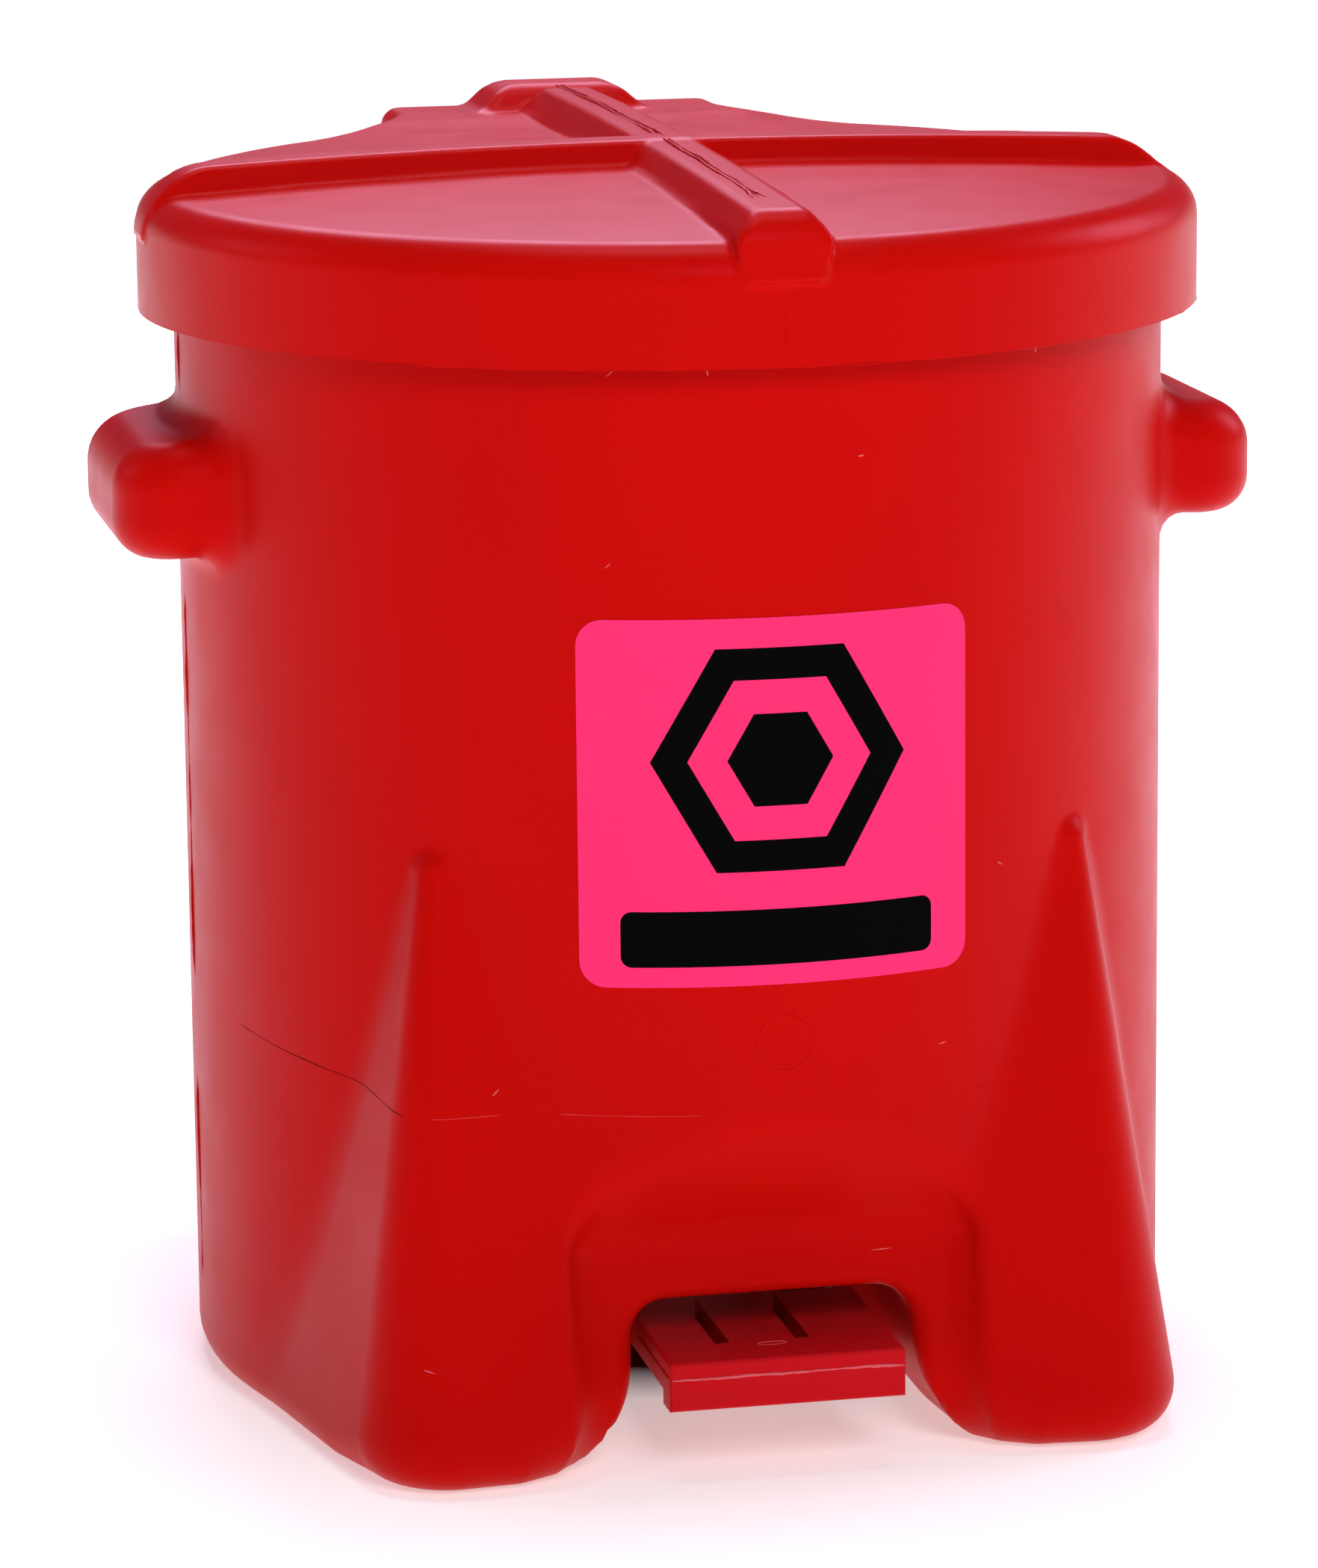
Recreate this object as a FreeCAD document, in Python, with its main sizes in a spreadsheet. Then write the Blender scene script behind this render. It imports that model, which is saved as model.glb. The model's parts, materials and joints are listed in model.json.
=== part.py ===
"""Pedal waste bin: blow-moulded tub, hinged lid, foot lever and lift rod.

Millimetres. The origin is the middle of the bin's footprint on the floor, +Z up, and the pedal
faces -Y. Every piece is drawn about the tub's own axis, and its node moves it by axis_shift.
"""
import FreeCAD, Part
import math
import os

from FreeCAD import Placement, Rotation, Vector

doc = FreeCAD.newDocument("pedal_bin")
sheet = doc.addObject("Spreadsheet::Sheet", "dim")
doc.recompute()

SIZES = [
    ("axis_shift", -18.5, "tub axis, from the middle of the footprint"),
    # tub
    ("tub_radius", 183.5, "outside of the tub"),
    ("tub_height", 436, "rim of the tub"),
    ("wall", 4.5, "tub wall"),
    ("tub_split", 225, "where the tub's lower and upper halves meet"),
    ("foot_reach", 194.8, "foot circle's centre, from the tub axis"),
    ("foot_bearing", 37.3, "foot circle's direction, degrees from the front or back"),
    ("foot_radius", 37.5, "foot circle on the floor"),
    ("foot_height", 223, "top of the foot's taper"),
    ("foot_apex_out", 4, "that top's stand-off from the tub"),
    ("foot_apex_bearing", 39.8, "direction of that top, degrees"),
    ("grip_reach", 214, "outer face of a side grip, from the axis"),
    ("grip_half_width", 62, "half of a grip's width"),
    ("grip_bottom", 319, "underside of a grip"),
    ("grip_top", 360, "top of a grip"),
    ("grip_corner", 27, "radius of a grip's two corners in plan"),
    ("grip_round", 16, "radius of a grip's upper and lower edges"),
    ("recess_half_width", 75, "half of the front recess"),
    ("recess_face", 158, "deepest line of the recess, in front of the axis"),
    ("recess_crease", 82, "height of that line, between panel and slope"),
    ("recess_foot", 186, "where the leaning panel reaches the floor"),
    ("recess_top", 125, "height where the slope meets the tub's front"),
    ("tunnel_half_width", 51, "half of the pedal tunnel"),
    ("tunnel_height", 60, "roof of the pedal tunnel"),
    ("tunnel_round", 12, "radius of the tunnel's top corners"),
    # label
    ("label_half_width", 70, "half of the label, straight across"),
    ("label_bottom", 179.7, "lower edge of the label"),
    ("label_top", 311, "upper edge of the label"),
    ("label_round", 9.5, "label's corner radius"),
    ("label_film", 0.25, "label's thickness"),
    # lid
    ("lid_radius", 196.5, "outside of the lid's skirt"),
    ("lid_wall", 4, "lid wall"),
    ("lid_rim", 400, "lower edge of the skirt"),
    ("lid_crown", 450.5, "middle of the domed top"),
    ("lid_dome", 2913, "radius of the dome"),
    ("lid_shoulder", 12, "radius between top and skirt"),
    ("tail_half_width", 69, "half of the hinge extension"),
    ("tail_back", 235, "back face of the extension, behind the axis"),
    ("tail_top", 450, "top of the extension"),
    ("tail_round", 9, "radius of the extension's outer edges"),
    ("rib_top", 460, "top of the ribs and of the rear boss"),
    ("rib_foot", 429.5, "where a rib's end stops on the skirt"),
    ("rib_flank", 453.5, "top of a rib's upright flanks"),
    ("rib_proud", 1.5, "rib end outside the skirt"),
    ("long_rib_half_width", 17.5, "front-to-back rib at its foot"),
    ("long_rib_half_top", 10.5, "front-to-back rib along its top"),
    ("cross_rib_half_width", 15, "side-to-side rib at its foot"),
    ("cross_rib_half_top", 9.5, "side-to-side rib along its top"),
    ("boss_half_width", 23, "half of the rear boss along its top"),
    ("boss_front", 203, "front of the boss along its top"),
    ("boss_back", 230, "back of the boss along its top"),
    ("boss_slope", 11, "run of the boss's sloped sides"),
    # lid hinge
    ("hinge_y", 217, "hinge axis behind the tub axis"),
    ("hinge_z", 415, "hinge axis above the floor"),
    ("hinge_pin_radius", 2.5, "hinge pin"),
    ("hinge_pin_half_length", 73.5, "half of the hinge pin"),
    ("hinge_washer_wide", 4.5, "hinge washer outside its pin, radially"),
    ("hinge_side_play", 0.1, "between the lid's sides and their washers"),
    ("hinge_ear_radius", 5.6, "round end of a hinge ear"),
    ("hinge_ear_inner", 42, "inner face of a hinge ear"),
    ("hinge_ear_outer", 58, "outer face of a hinge ear"),
    ("hinge_ear_root", 14, "how far an ear reaches into the tub"),
    ("running_gap", 0.05, "radial play of a running fit"),
    ("lid_swing", 60, "lid's opening angle, degrees"),
    # lift rod
    ("rod_radius", 2.5, "lift rod"),
    ("rod_x", -13, "rod's upright, across"),
    ("rod_arm", 20, "rod's upright, in front of the hinge axis"),
    ("rod_bend", 6, "radius of the rod's bends"),
    ("rod_leg_end", 12, "end of the rod's two legs, across"),
    ("rod_nut_wide", 2.4, "the legs' push nuts outside the rod, radially"),
    ("slot_play", 0.7, "play of the rod's legs in slot and eye"),
    ("link_plate", 2, "thickness of the lid's slotted plate"),
    ("link_half_width", 7.5, "half width of the slotted plate"),
    ("link_offset", 1.3, "middle of that plate behind the rod"),
    ("link_flange", 30, "end of the plate's flange, across"),
    ("link_screw_x", 11, "first flange screw, across"),
    ("link_screw_pitch", 12, "between the two flange screws"),
    ("guide_z", 240, "middle of the rod guide"),
    ("guide_half_height", 9, "half of the guide's height"),
    ("guide_half_width", 19, "half of the guide's width"),
    ("guide_depth", 7.5, "guide's material on each side of the rod"),
    ("guide_foot", 4, "thickness of the guide's screw feet"),
    ("guide_root", 6, "guide's blank inside the tub's radius, before it is hollowed to fit"),
    ("guide_screw_x", 13.7, "guide's screws, across from the rod"),
    # pedal lever
    ("pivot_y", -5, "lever's pivot, from the tub axis"),
    ("pivot_z", 32.5, "lever's pivot above the floor"),
    ("pivot_pin_radius", 3, "pivot pin"),
    ("bush_radius", 5.5, "outside of a pivot bush"),
    ("bush_flange_radius", 8.5, "flange of a pivot bush"),
    ("bush_flange", 1.2, "thickness of that flange"),
    ("bush_length", 15, "length of a bush inside the hub"),
    ("hub_radius", 11, "lever's hub"),
    ("hub_half_width", 22, "half of the lever's hub"),
    ("tread_half_width", 43, "half of the pedal tread"),
    ("tread_front", 190, "front face of the tread, before the axis"),
    ("tread_back", 110, "rear of the tread, before the axis"),
    ("tread_top", 45, "top of the tread"),
    ("tread_bottom", 32.5, "underside of the tread"),
    ("tread_lip", 27, "lower edge of the tread's front lip"),
    ("tread_lip_depth", 13, "front lip, front to back"),
    ("tread_round", 1.6, "radius along the tread's edges"),
    ("groove_width", 5.5, "width of a tread groove"),
    ("groove_front", 168.5, "front end of a groove, before the axis"),
    ("groove_depth", 7, "depth of a groove"),
    ("groove_first", -19.5, "first groove, across"),
    ("groove_second", 10, "second groove, across"),
    ("web_half_width", 20, "half of the lever's front arm"),
    ("web_overlap", 20, "front arm under the tread, front to back"),
    ("arm_half_width", 5, "half of the lever's tail arm"),
    ("arm_height", 11, "depth of the lever's arms"),
    ("eye_y", 197, "tail eye behind the tub axis"),
    ("eye_radius", 8, "outside of the tail eye"),
    # pivot saddle
    ("saddle_plate", 2, "thickness of the saddle's sheet"),
    ("saddle_half_width", 38.5, "half of the saddle's base"),
    ("saddle_half_depth", 16, "half of the saddle, front to back"),
    ("saddle_ear", 23.5, "inner face of a saddle ear"),
    ("saddle_drop", 9, "ear below the pivot"),
    ("saddle_screw_x", 32, "saddle's screws, across"),
    # fasteners
    ("washer_thick", 1, "all washers"),
    ("push_nut_thick", 1.4, "all push nuts"),
    ("push_nut_wide", 4, "push nut outside its shaft, radially"),
    ("shaft_end", 1.5, "shaft beyond its push nut"),
    ("saddle_screw_radius", 2.5, "saddle screws"),
    ("saddle_screw_head", 4.6, "saddle screw heads"),
    ("saddle_head_thick", 2.8, "thickness of those heads"),
    ("saddle_screw_tail", 0.8, "saddle screws below their nuts"),
    ("saddle_washer_radius", 6.1, "saddle washers"),
    ("saddle_nut_radius", 4.6, "saddle nuts, across corners"),
    ("saddle_nut_thick", 4, "saddle nuts"),
    ("small_screw_radius", 1.75, "small self-tapping screws"),
    ("small_screw_head", 3.5, "their heads"),
    ("small_screw_reach", 7, "their length in plastic"),
    ("small_screw_gap", 0.5, "left below a lid screw's tip"),
    ("head_thick", 2.2, "thickness of a screw head"),
]

for row, (alias, value, meaning) in enumerate(SIZES, 1):
    sheet.set(f"A{row}", alias)
    sheet.set(f"B{row}", str(value))
    sheet.setAlias(f"B{row}", alias)
    sheet.set(f"C{row}", meaning)
doc.recompute()

SHORT = {
    "x": "Placement.Base.x",
    "y": "Placement.Base.y",
    "z": "Placement.Base.z",
}
ALONG_X = Rotation(Vector(0, 1, 0), 90)
ALONG_Y = Rotation(Vector(1, 0, 0), -90)
UPRIGHT_WEDGE = Rotation(Vector(1, 0, 0), 90)
FOOT_CUT_SHARE = 0.97  # a foot's taper is drawn up to here and ends inside the tub's wall


def size(alias):
    """A cell's number, for the few shapes that no property can bind."""
    return float(getattr(sheet, alias))


def bind(obj, **formulas):
    """Bind properties to formulas over the sheet."""
    for name, formula in formulas.items():
        obj.setExpression(SHORT.get(name, name), formula)
    return obj


def box(name, x, y, z):
    """A block between two formulas on each axis."""
    block = doc.addObject("Part::Box", name)
    return bind(
        block, x=x[0], y=y[0], z=z[0],
        Length=f"({x[1]}) - ({x[0]})", Width=f"({y[1]}) - ({y[0]})",
        Height=f"({z[1]}) - ({z[0]})",
    )


def rod(name, radius, start, length, turn=Rotation()):
    """A cylinder from its start point, upright unless it is turned."""
    cylinder = doc.addObject("Part::Cylinder", name)
    cylinder.Placement = Placement(Vector(), turn)
    return bind(cylinder, Radius=radius, Height=length, x=start[0], y=start[1], z=start[2])


def fuse(name, pieces):
    result = doc.addObject("Part::MultiFuse", name)
    result.Shapes = pieces
    return result


def cut(name, base, tools):
    result = doc.addObject("Part::Cut", name)
    result.Base = base
    result.Tool = tools[0] if len(tools) == 1 else fuse(name + "_tools", tools)
    return result


def common(name, first, second):
    result = doc.addObject("Part::Common", name)
    result.Base, result.Tool = first, second
    return result


def fillet(name, base, radius, chosen):
    """Round the edges that chosen(edge) picks."""
    doc.recompute()
    picked = [i for i, edge in enumerate(base.Shape.Edges, 1) if chosen(edge)]
    result = doc.addObject("Part::Fillet", name)
    result.Base = base
    result.Edges = [(i, radius, radius) for i in picked]
    return result


def direction(edge):
    """Unit vector along a straight edge."""
    along = edge.Vertexes[-1].Point - edge.Vertexes[0].Point
    return along.normalize() if along.Length > 0 else along


def washer(name, inner, outer, thick, start, turn=ALONG_X):
    disc = rod(name + "_disc", outer, start, thick, turn)
    hole = rod(name + "_hole", inner, start, thick, turn)
    return cut(name, disc, [hole])


nodes = []


def node(label, pieces):
    """One named sub-part, moved from the tub's axis to the row's origin."""
    part = doc.addObject("Part::Compound", label)
    part.Label = label
    part.Links = pieces
    nodes.append(bind(part, y="dim.axis_shift"))
    return part


# ---------------------------------------------------------------- tub


def foot(name, side, end, inset):
    """Leaning taper of one foot: a cone round the foot circle, with flat flanks tangent to the tub.

    Its section at a height is the floor outline shrunk towards the apex on the tub's wall.
    """
    radius, small = size("tub_radius") - inset, size("foot_radius") - inset
    reach, height = size("foot_reach"), size("foot_height")
    bearing = math.radians(size("foot_bearing"))
    apex_bearing = math.radians(size("foot_apex_bearing"))
    flank = math.acos((radius - small) / reach)

    def ground(distance, angle):
        return Vector(side * distance * math.sin(angle), end * distance * math.cos(angle), 0)

    centre = ground(reach, bearing)
    apex = ground(radius + size("foot_apex_out"), apex_bearing) + Vector(0, 0, height)

    def around(angle):
        return centre + ground(small, angle)

    def section(level):
        def shrunk(point):
            return apex + (point - apex) * (1 - level / height)

        first, last = bearing - flank, bearing + flank
        corners = [ground(radius, first), around(first), around(bearing), around(last),
                   ground(radius, last)]
        a, b, c, d, e = [shrunk(corner) for corner in corners]
        return Part.Wire([Part.makeLine(a, b), Part.Arc(b, c, d).toShape(),
                          Part.makeLine(d, e), Part.makeLine(e, a)])

    tip = FOOT_CUT_SHARE * height
    feature = doc.addObject("Part::Feature", name)
    feature.Shape = Part.makeLoft([section(inset), section(tip)], True, True)
    return feature


def recess(name, inset):
    """Wedge cut above the pedal: a panel that leans out to the floor, and a slope above it."""
    crease = Vector(0, -size("recess_face"), size("recess_crease"))
    down = (Vector(0, -size("recess_foot"), 0) - crease).normalize()
    out = (Vector(0, -size("tub_radius"), size("recess_top")) - crease).normalize()
    # The inner skin's crease lies behind the outer one, on the line that halves their angle.
    half_angle = down.getAngle(out) / 2
    crease -= (down + out).normalize() * (inset / math.sin(half_angle))
    reach = 1.2 * size("tub_radius")
    profile = Part.makePolygon([crease, crease + down * reach, crease + out * reach, crease])
    half = size("recess_half_width") + inset
    feature = doc.addObject("Part::Feature", name)
    solid = Part.Face(profile).extrude(Vector(2 * half, 0, 0))
    solid.translate(Vector(-half, 0, 0))
    feature.Shape = solid
    return feature


def grip(name, side, grow):
    """Side grip: a block that grows out of the wall, with rounded outer edges."""
    outer, inner = f"dim.grip_reach - {grow}", "0.75 * dim.tub_radius"
    span = (inner, outer) if side > 0 else (f"-({outer})", f"-({inner})")
    block = box(
        name + "_block", span,
        (f"-dim.grip_half_width + {grow}", f"dim.grip_half_width - {grow}"),
        (f"dim.grip_bottom + {grow}", f"dim.grip_top - {grow}"),
    )
    inset = 0 if grow == "0" else size("wall")
    plan = fillet(
        name + "_plan", block, size("grip_corner") - inset,
        lambda edge: abs(direction(edge).z) > 0.9 and abs(edge.CenterOfMass.x) > size("tub_radius"),
    )
    return fillet(
        name, plan, size("grip_round") - inset,
        lambda edge: abs(direction(edge).z) < 0.1 and abs(edge.CenterOfMass.x) > 0.8 * size("tub_radius"),
    )


def tub_form(name, grow):
    """The whole tub as a plug, shrunk all over by the formula grow."""
    inset = 0 if grow == "0" else size("wall")
    over = "0" if grow == "0" else "1"
    pieces = [rod(name + "_barrel", f"dim.tub_radius - {grow}", ("0", "0", grow),
                  f"dim.tub_height - {grow} + {over}")]
    for side in (-1, 1):
        pieces.append(grip(f"{name}_grip_{'left' if side < 0 else 'right'}", side, grow))
        for end in (-1, 1):
            spot = f"{'front' if end < 0 else 'rear'}_{'left' if side < 0 else 'right'}"
            pieces.append(foot(f"{name}_foot_{spot}", side, end, inset))
    plug = fuse(name + "_plug", pieces)
    channel = box(
        name + "_channel",
        (f"-dim.tunnel_half_width - {grow}", f"dim.tunnel_half_width + {grow}"),
        ("-1.4 * dim.tub_radius", "1.4 * dim.tub_radius"),
        ("-20", f"dim.tunnel_height + {grow}"),
    )
    rounded = fillet(
        name + "_tunnel", channel, size("tunnel_round") + inset,
        lambda edge: abs(direction(edge).y) > 0.9 and edge.CenterOfMass.z > 0,
    )
    return cut(name, plug, [recess(name + "_recess", inset), rounded])


def hinge_ear(name, side):
    """Moulded ear behind the rim that carries the lid's hinge pin."""
    near, far = "dim.hinge_ear_inner", "dim.hinge_ear_outer"
    span = (near, far) if side > 0 else (f"-{far}", f"-{near}")
    level = "dim.hinge_ear_radius"
    arm = box(name + "_arm", span, ("dim.tub_radius - dim.hinge_ear_root", "dim.hinge_y"),
              (f"dim.hinge_z - {level}", f"dim.hinge_z + {level}"))
    knuckle = rod(name + "_knuckle", level, (span[0], "dim.hinge_y", "dim.hinge_z"),
                  f"{far} - {near}", ALONG_X)
    return [arm, knuckle]


tub_outside = tub_form("tub_outside", "0")
tub_inside = tub_form("tub_inside", "dim.wall")
ears = hinge_ear("ear_left", -1) + hinge_ear("ear_right", 1)
tub_with_ears = fuse("tub_with_ears", [tub_outside] + ears)
hinge_bore = rod("tub_hinge_bore", "dim.hinge_pin_radius + dim.running_gap",
                 ("-dim.hinge_ear_outer - 5", "dim.hinge_y", "dim.hinge_z"),
                 "2 * dim.hinge_ear_outer + 10", ALONG_X)
saddle_holes = [
    rod(f"tub_saddle_hole_{i}", "dim.saddle_screw_radius",
        (f"{side} * dim.saddle_screw_x", "dim.pivot_y", "dim.tunnel_height - 1"),
        "dim.wall + 2")
    for i, side in enumerate((-1, 1))
]
GUIDE_SCREWS = ("dim.rod_x - dim.guide_screw_x", "dim.rod_x + dim.guide_screw_x")
guide_holes = [
    rod(f"tub_guide_hole_{i}", "dim.small_screw_radius",
        (across, "dim.tub_radius - dim.wall - 6", "dim.guide_z"), "dim.wall + 8", ALONG_Y)
    for i, across in enumerate(GUIDE_SCREWS)
]
tub = cut("tub", tub_with_ears, [tub_inside, hinge_bore] + saddle_holes + guide_holes)


def band(name, bottom, top):
    """Everything between two heights."""
    far = "2 * dim.tub_radius"
    return box(name, (f"-{far}", far), (f"-{far}", far), (bottom, top))


# The tub is one moulding, kept as two solids that meet above its feet.
node("tub_base", [common("tub_below", tub, band("tub_below_band", "-1", "dim.tub_split"))])
node("tub_upper", [
    common("tub_above", tub, band("tub_above_band", "dim.tub_split", "dim.tub_height + 1")),
])

# ---------------------------------------------------------------- label

film = rod("label_skin", "dim.tub_radius + dim.label_film", ("0", "0", "0"), "dim.tub_height")
core = rod("label_core", "dim.tub_radius", ("0", "0", "0"), "dim.tub_height")
outline = fillet(
    "label_outline",
    box("label_block", ("-dim.label_half_width", "dim.label_half_width"),
        ("-1.2 * dim.tub_radius", "0"), ("dim.label_bottom", "dim.label_top")),
    size("label_round"), lambda edge: abs(direction(edge).y) > 0.9,
)
node("front_label", [common("label", cut("label_sleeve", film, [core]), outline)])

# ---------------------------------------------------------------- lid


def lid_profile(name, inset, standing):
    """Half section of the lid's disc: skirt, shoulder and dome, tangent to each other."""
    radius, shoulder = size("lid_radius") - inset, size("lid_shoulder") - inset
    dome, crown = size("lid_dome") - inset, size("lid_crown") - inset
    bottom = size("lid_rim") - standing
    dome_centre = Vector(0, 0, crown - dome)
    ring = radius - shoulder
    shoulder_centre = Vector(ring, 0, dome_centre.z + math.sqrt((dome - shoulder) ** 2 - ring ** 2))
    outward = (shoulder_centre - dome_centre).normalize()
    skirt_top = shoulder_centre + Vector(shoulder, 0, 0)
    meeting = shoulder_centre + outward * shoulder
    bulge = (Vector(1, 0, 0) + outward).normalize()
    half_way = (Vector(0, 0, 1) + outward).normalize()
    foot_in, foot_out = Vector(0, 0, bottom), Vector(radius, 0, bottom)
    apex = Vector(0, 0, crown)
    feature = doc.addObject("Part::Feature", name)
    feature.Shape = Part.Face(Part.Wire([
        Part.makeLine(foot_in, foot_out),
        Part.makeLine(foot_out, skirt_top),
        Part.Arc(skirt_top, shoulder_centre + bulge * shoulder, meeting).toShape(),
        Part.Arc(meeting, dome_centre + half_way * dome, apex).toShape(),
        Part.makeLine(apex, foot_in),
    ]))
    return feature


def lid_form(name, grow, standing):
    """Lid without ribs, shrunk all over by grow, standing that far below the rim."""
    inset = 0 if grow == "0" else size("lid_wall")
    disc = doc.addObject("Part::Revolution", name + "_disc")
    disc.Source = lid_profile(name + "_profile", inset, standing)
    disc.Axis = Vector(0, 0, 1)
    disc.Solid = True
    foot_level = f"dim.lid_rim - {standing}"
    block = box(name + "_block", (f"-dim.tail_half_width + {grow}", f"dim.tail_half_width - {grow}"),
                ("0.5 * dim.lid_radius", f"dim.tail_back - {grow}"),
                (foot_level, f"dim.tail_top - {grow}"))
    doc.recompute()
    behind, above = 0.55 * size("lid_radius"), size("hinge_z")
    tail = fillet(name + "_tail", block, size("tail_round") - inset,
                  lambda edge: edge.CenterOfMass.y > behind
                  and (abs(direction(edge).z) > 0.9 or edge.CenterOfMass.z > above))
    return fuse(name, [disc, tail])


def wedge(name, foot_half, top_half, span, foot_level, top_level, across=False):
    """A bar with sloped flanks, along Y or, if across, along X."""
    bar = doc.addObject("Part::Wedge", name)
    turn = UPRIGHT_WEDGE
    if across:
        turn = Rotation(Vector(0, 0, 1), 90).multiply(UPRIGHT_WEDGE)
    bar.Placement = Placement(Vector(), turn)
    return bind(
        bar, Xmin=f"-({foot_half})", Xmax=foot_half, X2min=f"-({top_half})", X2max=top_half,
        Ymin=foot_level, Ymax=top_level, Zmin=f"-({span[1]})", Zmax=f"-({span[0]})",
        Z2min=f"-({span[1]})", Z2max=f"-({span[0]})",
    )


def rib_bars(name, grow, back):
    """The two crossing ribs, before their ends are rolled over the shoulder."""
    far = "dim.lid_radius + 20"
    top = f"dim.rib_top - {grow}"
    bars = []
    for kind, span, across in (("long", (f"-({far})", back), False),
                               ("cross", (f"-({far})", far), True)):
        half, flat = f"dim.{kind}_rib_half_width - {grow}", f"dim.{kind}_rib_half_top - {grow} / 2"
        bars.append(wedge(f"{name}_{kind}_slopes", half, flat, span, "dim.rib_flank", top, across))
        base = ((f"-({half})", half), span)
        along_x, along_y = base[::-1] if across else base
        bars.append(box(f"{name}_{kind}_base", along_x, along_y,
                        (f"dim.rib_foot + {grow}", "dim.rib_flank")))
    return fuse(name, bars)


def rib_envelope(name, grow):
    """Drum with a rounded top that the ribs' ends follow down to the skirt."""
    drum = rod(name + "_drum", f"dim.lid_radius + dim.rib_proud - {grow}",
               ("0", "0", f"dim.rib_foot + {grow}"), f"dim.rib_top - dim.rib_foot - 2 * {grow}")
    doc.recompute()
    inset = 0 if grow == "0" else size("lid_wall")
    roll = size("rib_top") - size("rib_foot") - 2 * inset - 0.5
    return fillet(name, drum, roll,
                  lambda edge: edge.Length > size("lid_radius") * 5
                  and edge.CenterOfMass.z > size("tail_top") - 1)


lid_outside = lid_form("lid_outside", "0", 0)
ribs = common("lid_ribs", rib_bars("rib_bars", "0", "dim.boss_front"),
              rib_envelope("rib_envelope", "0"))
boss = doc.addObject("Part::Wedge", "lid_boss")
boss.Placement = Placement(Vector(), UPRIGHT_WEDGE)
bind(
    boss, Xmin="-dim.boss_half_width - dim.boss_slope", Xmax="dim.boss_half_width + dim.boss_slope",
    X2min="-dim.boss_half_width", X2max="dim.boss_half_width",
    Ymin="dim.tail_top - 1", Ymax="dim.rib_top",
    Zmin="-dim.boss_back", Zmax="-dim.boss_front + dim.boss_slope",
    Z2min="-dim.boss_back", Z2max="-dim.boss_front",
)
lid_solid = fuse("lid_solid", [lid_outside, ribs, boss])

lid_hollow = lid_form("lid_hollow", "dim.lid_wall", 1)
channels = common("lid_channels", rib_bars("channel_bars", "dim.lid_wall", "0.75 * dim.lid_radius"),
                  rib_envelope("channel_envelope", "dim.lid_wall"))
lid_bore = rod("lid_hinge_bore", "dim.hinge_pin_radius + dim.running_gap",
               ("-dim.tail_half_width - 5", "dim.hinge_y", "dim.hinge_z"),
               "2 * dim.tail_half_width + 10", ALONG_X)
TAIL_CEILING = "(dim.tail_top - dim.lid_wall)"
ROD_Y = "(dim.hinge_y - dim.rod_arm)"
LINK_SCREWS = ("dim.link_screw_x", "dim.link_screw_x + dim.link_screw_pitch")
link_holes = [
    rod(f"lid_link_hole_{i}", "dim.small_screw_radius", (across, ROD_Y, f"{TAIL_CEILING} - 1"),
        "dim.small_screw_reach + 1")
    for i, across in enumerate(LINK_SCREWS)
]
lid = cut("lid_moulding", lid_solid, [lid_hollow, channels, lid_bore] + link_holes)
node("lid", [lid])

# ---------------------------------------------------------------- lid hinge

node("lid_hinge_pin", [
    rod("hinge_pin", "dim.hinge_pin_radius",
        ("-dim.hinge_pin_half_length", "dim.hinge_y", "dim.hinge_z"),
        "2 * dim.hinge_pin_half_length", ALONG_X),
])
WASHER_IN = "(dim.tail_half_width + dim.hinge_side_play)"
NUT_IN = f"({WASHER_IN} + dim.washer_thick)"


def both_sides(name, inner, outer, thick, near, y, z):
    """The same ring on the left and right end of a cross shaft."""
    return [
        washer(name + "_right", inner, outer, thick, (near, y, z)),
        washer(name + "_left", inner, outer, thick, (f"-{near} - {thick}", y, z)),
    ]


node("lid_hinge_washers", both_sides(
    "hinge_washer", "dim.hinge_pin_radius", "dim.hinge_pin_radius + dim.hinge_washer_wide",
    "dim.washer_thick",
    WASHER_IN, "dim.hinge_y", "dim.hinge_z"))
node("lid_hinge_push_nuts", both_sides(
    "hinge_push_nut", "dim.hinge_pin_radius", "dim.hinge_pin_radius + dim.push_nut_wide",
    "dim.push_nut_thick", NUT_IN, "dim.hinge_y", "dim.hinge_z"))

# ---------------------------------------------------------------- lid lift bracket

# The rod's top leg rides in a slot that points at the hinge axis. It sits half the swing below
# the hinge's level when the lid is shut and as far above it when the lid is open.
HALF_RISE = "(dim.rod_arm * tan(dim.lid_swing / 2 * 1 deg))"
LEG_TOP_Z = f"(dim.hinge_z - {HALF_RISE})"
half_swing = math.radians(size("lid_swing") / 2)
slot_far = size("rod_arm") / math.cos(half_swing)
slot_half_width = size("rod_radius") + size("slot_play")

LINK_FACE = "(dim.link_plate / 2)"
LINK_Y = f"({ROD_Y} + dim.link_offset)"
LINK_SPAN = (f"{LINK_Y} - dim.link_half_width", f"{LINK_Y} + dim.link_half_width")
strap = box("link_strap", (f"-{LINK_FACE}", LINK_FACE), LINK_SPAN, (LEG_TOP_Z, TAIL_CEILING))
strap_end = rod("link_strap_end", "dim.link_half_width",
                (f"-{LINK_FACE}", LINK_Y, LEG_TOP_Z), "dim.link_plate", ALONG_X)
flange = box("link_flange", (f"-{LINK_FACE}", "dim.link_flange"), LINK_SPAN,
             (f"{TAIL_CEILING} - dim.link_plate", TAIL_CEILING))
slot = doc.addObject("Part::Feature", "link_slot")
through_plate = Vector(2 * size("link_plate"), 0, 0)
toward = Vector(0, -math.cos(half_swing), -math.sin(half_swing))
aside = Vector(0, math.sin(half_swing), -math.cos(half_swing))
hinge_point = Vector(-size("link_plate"), size("hinge_y"), size("hinge_z"))


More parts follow.
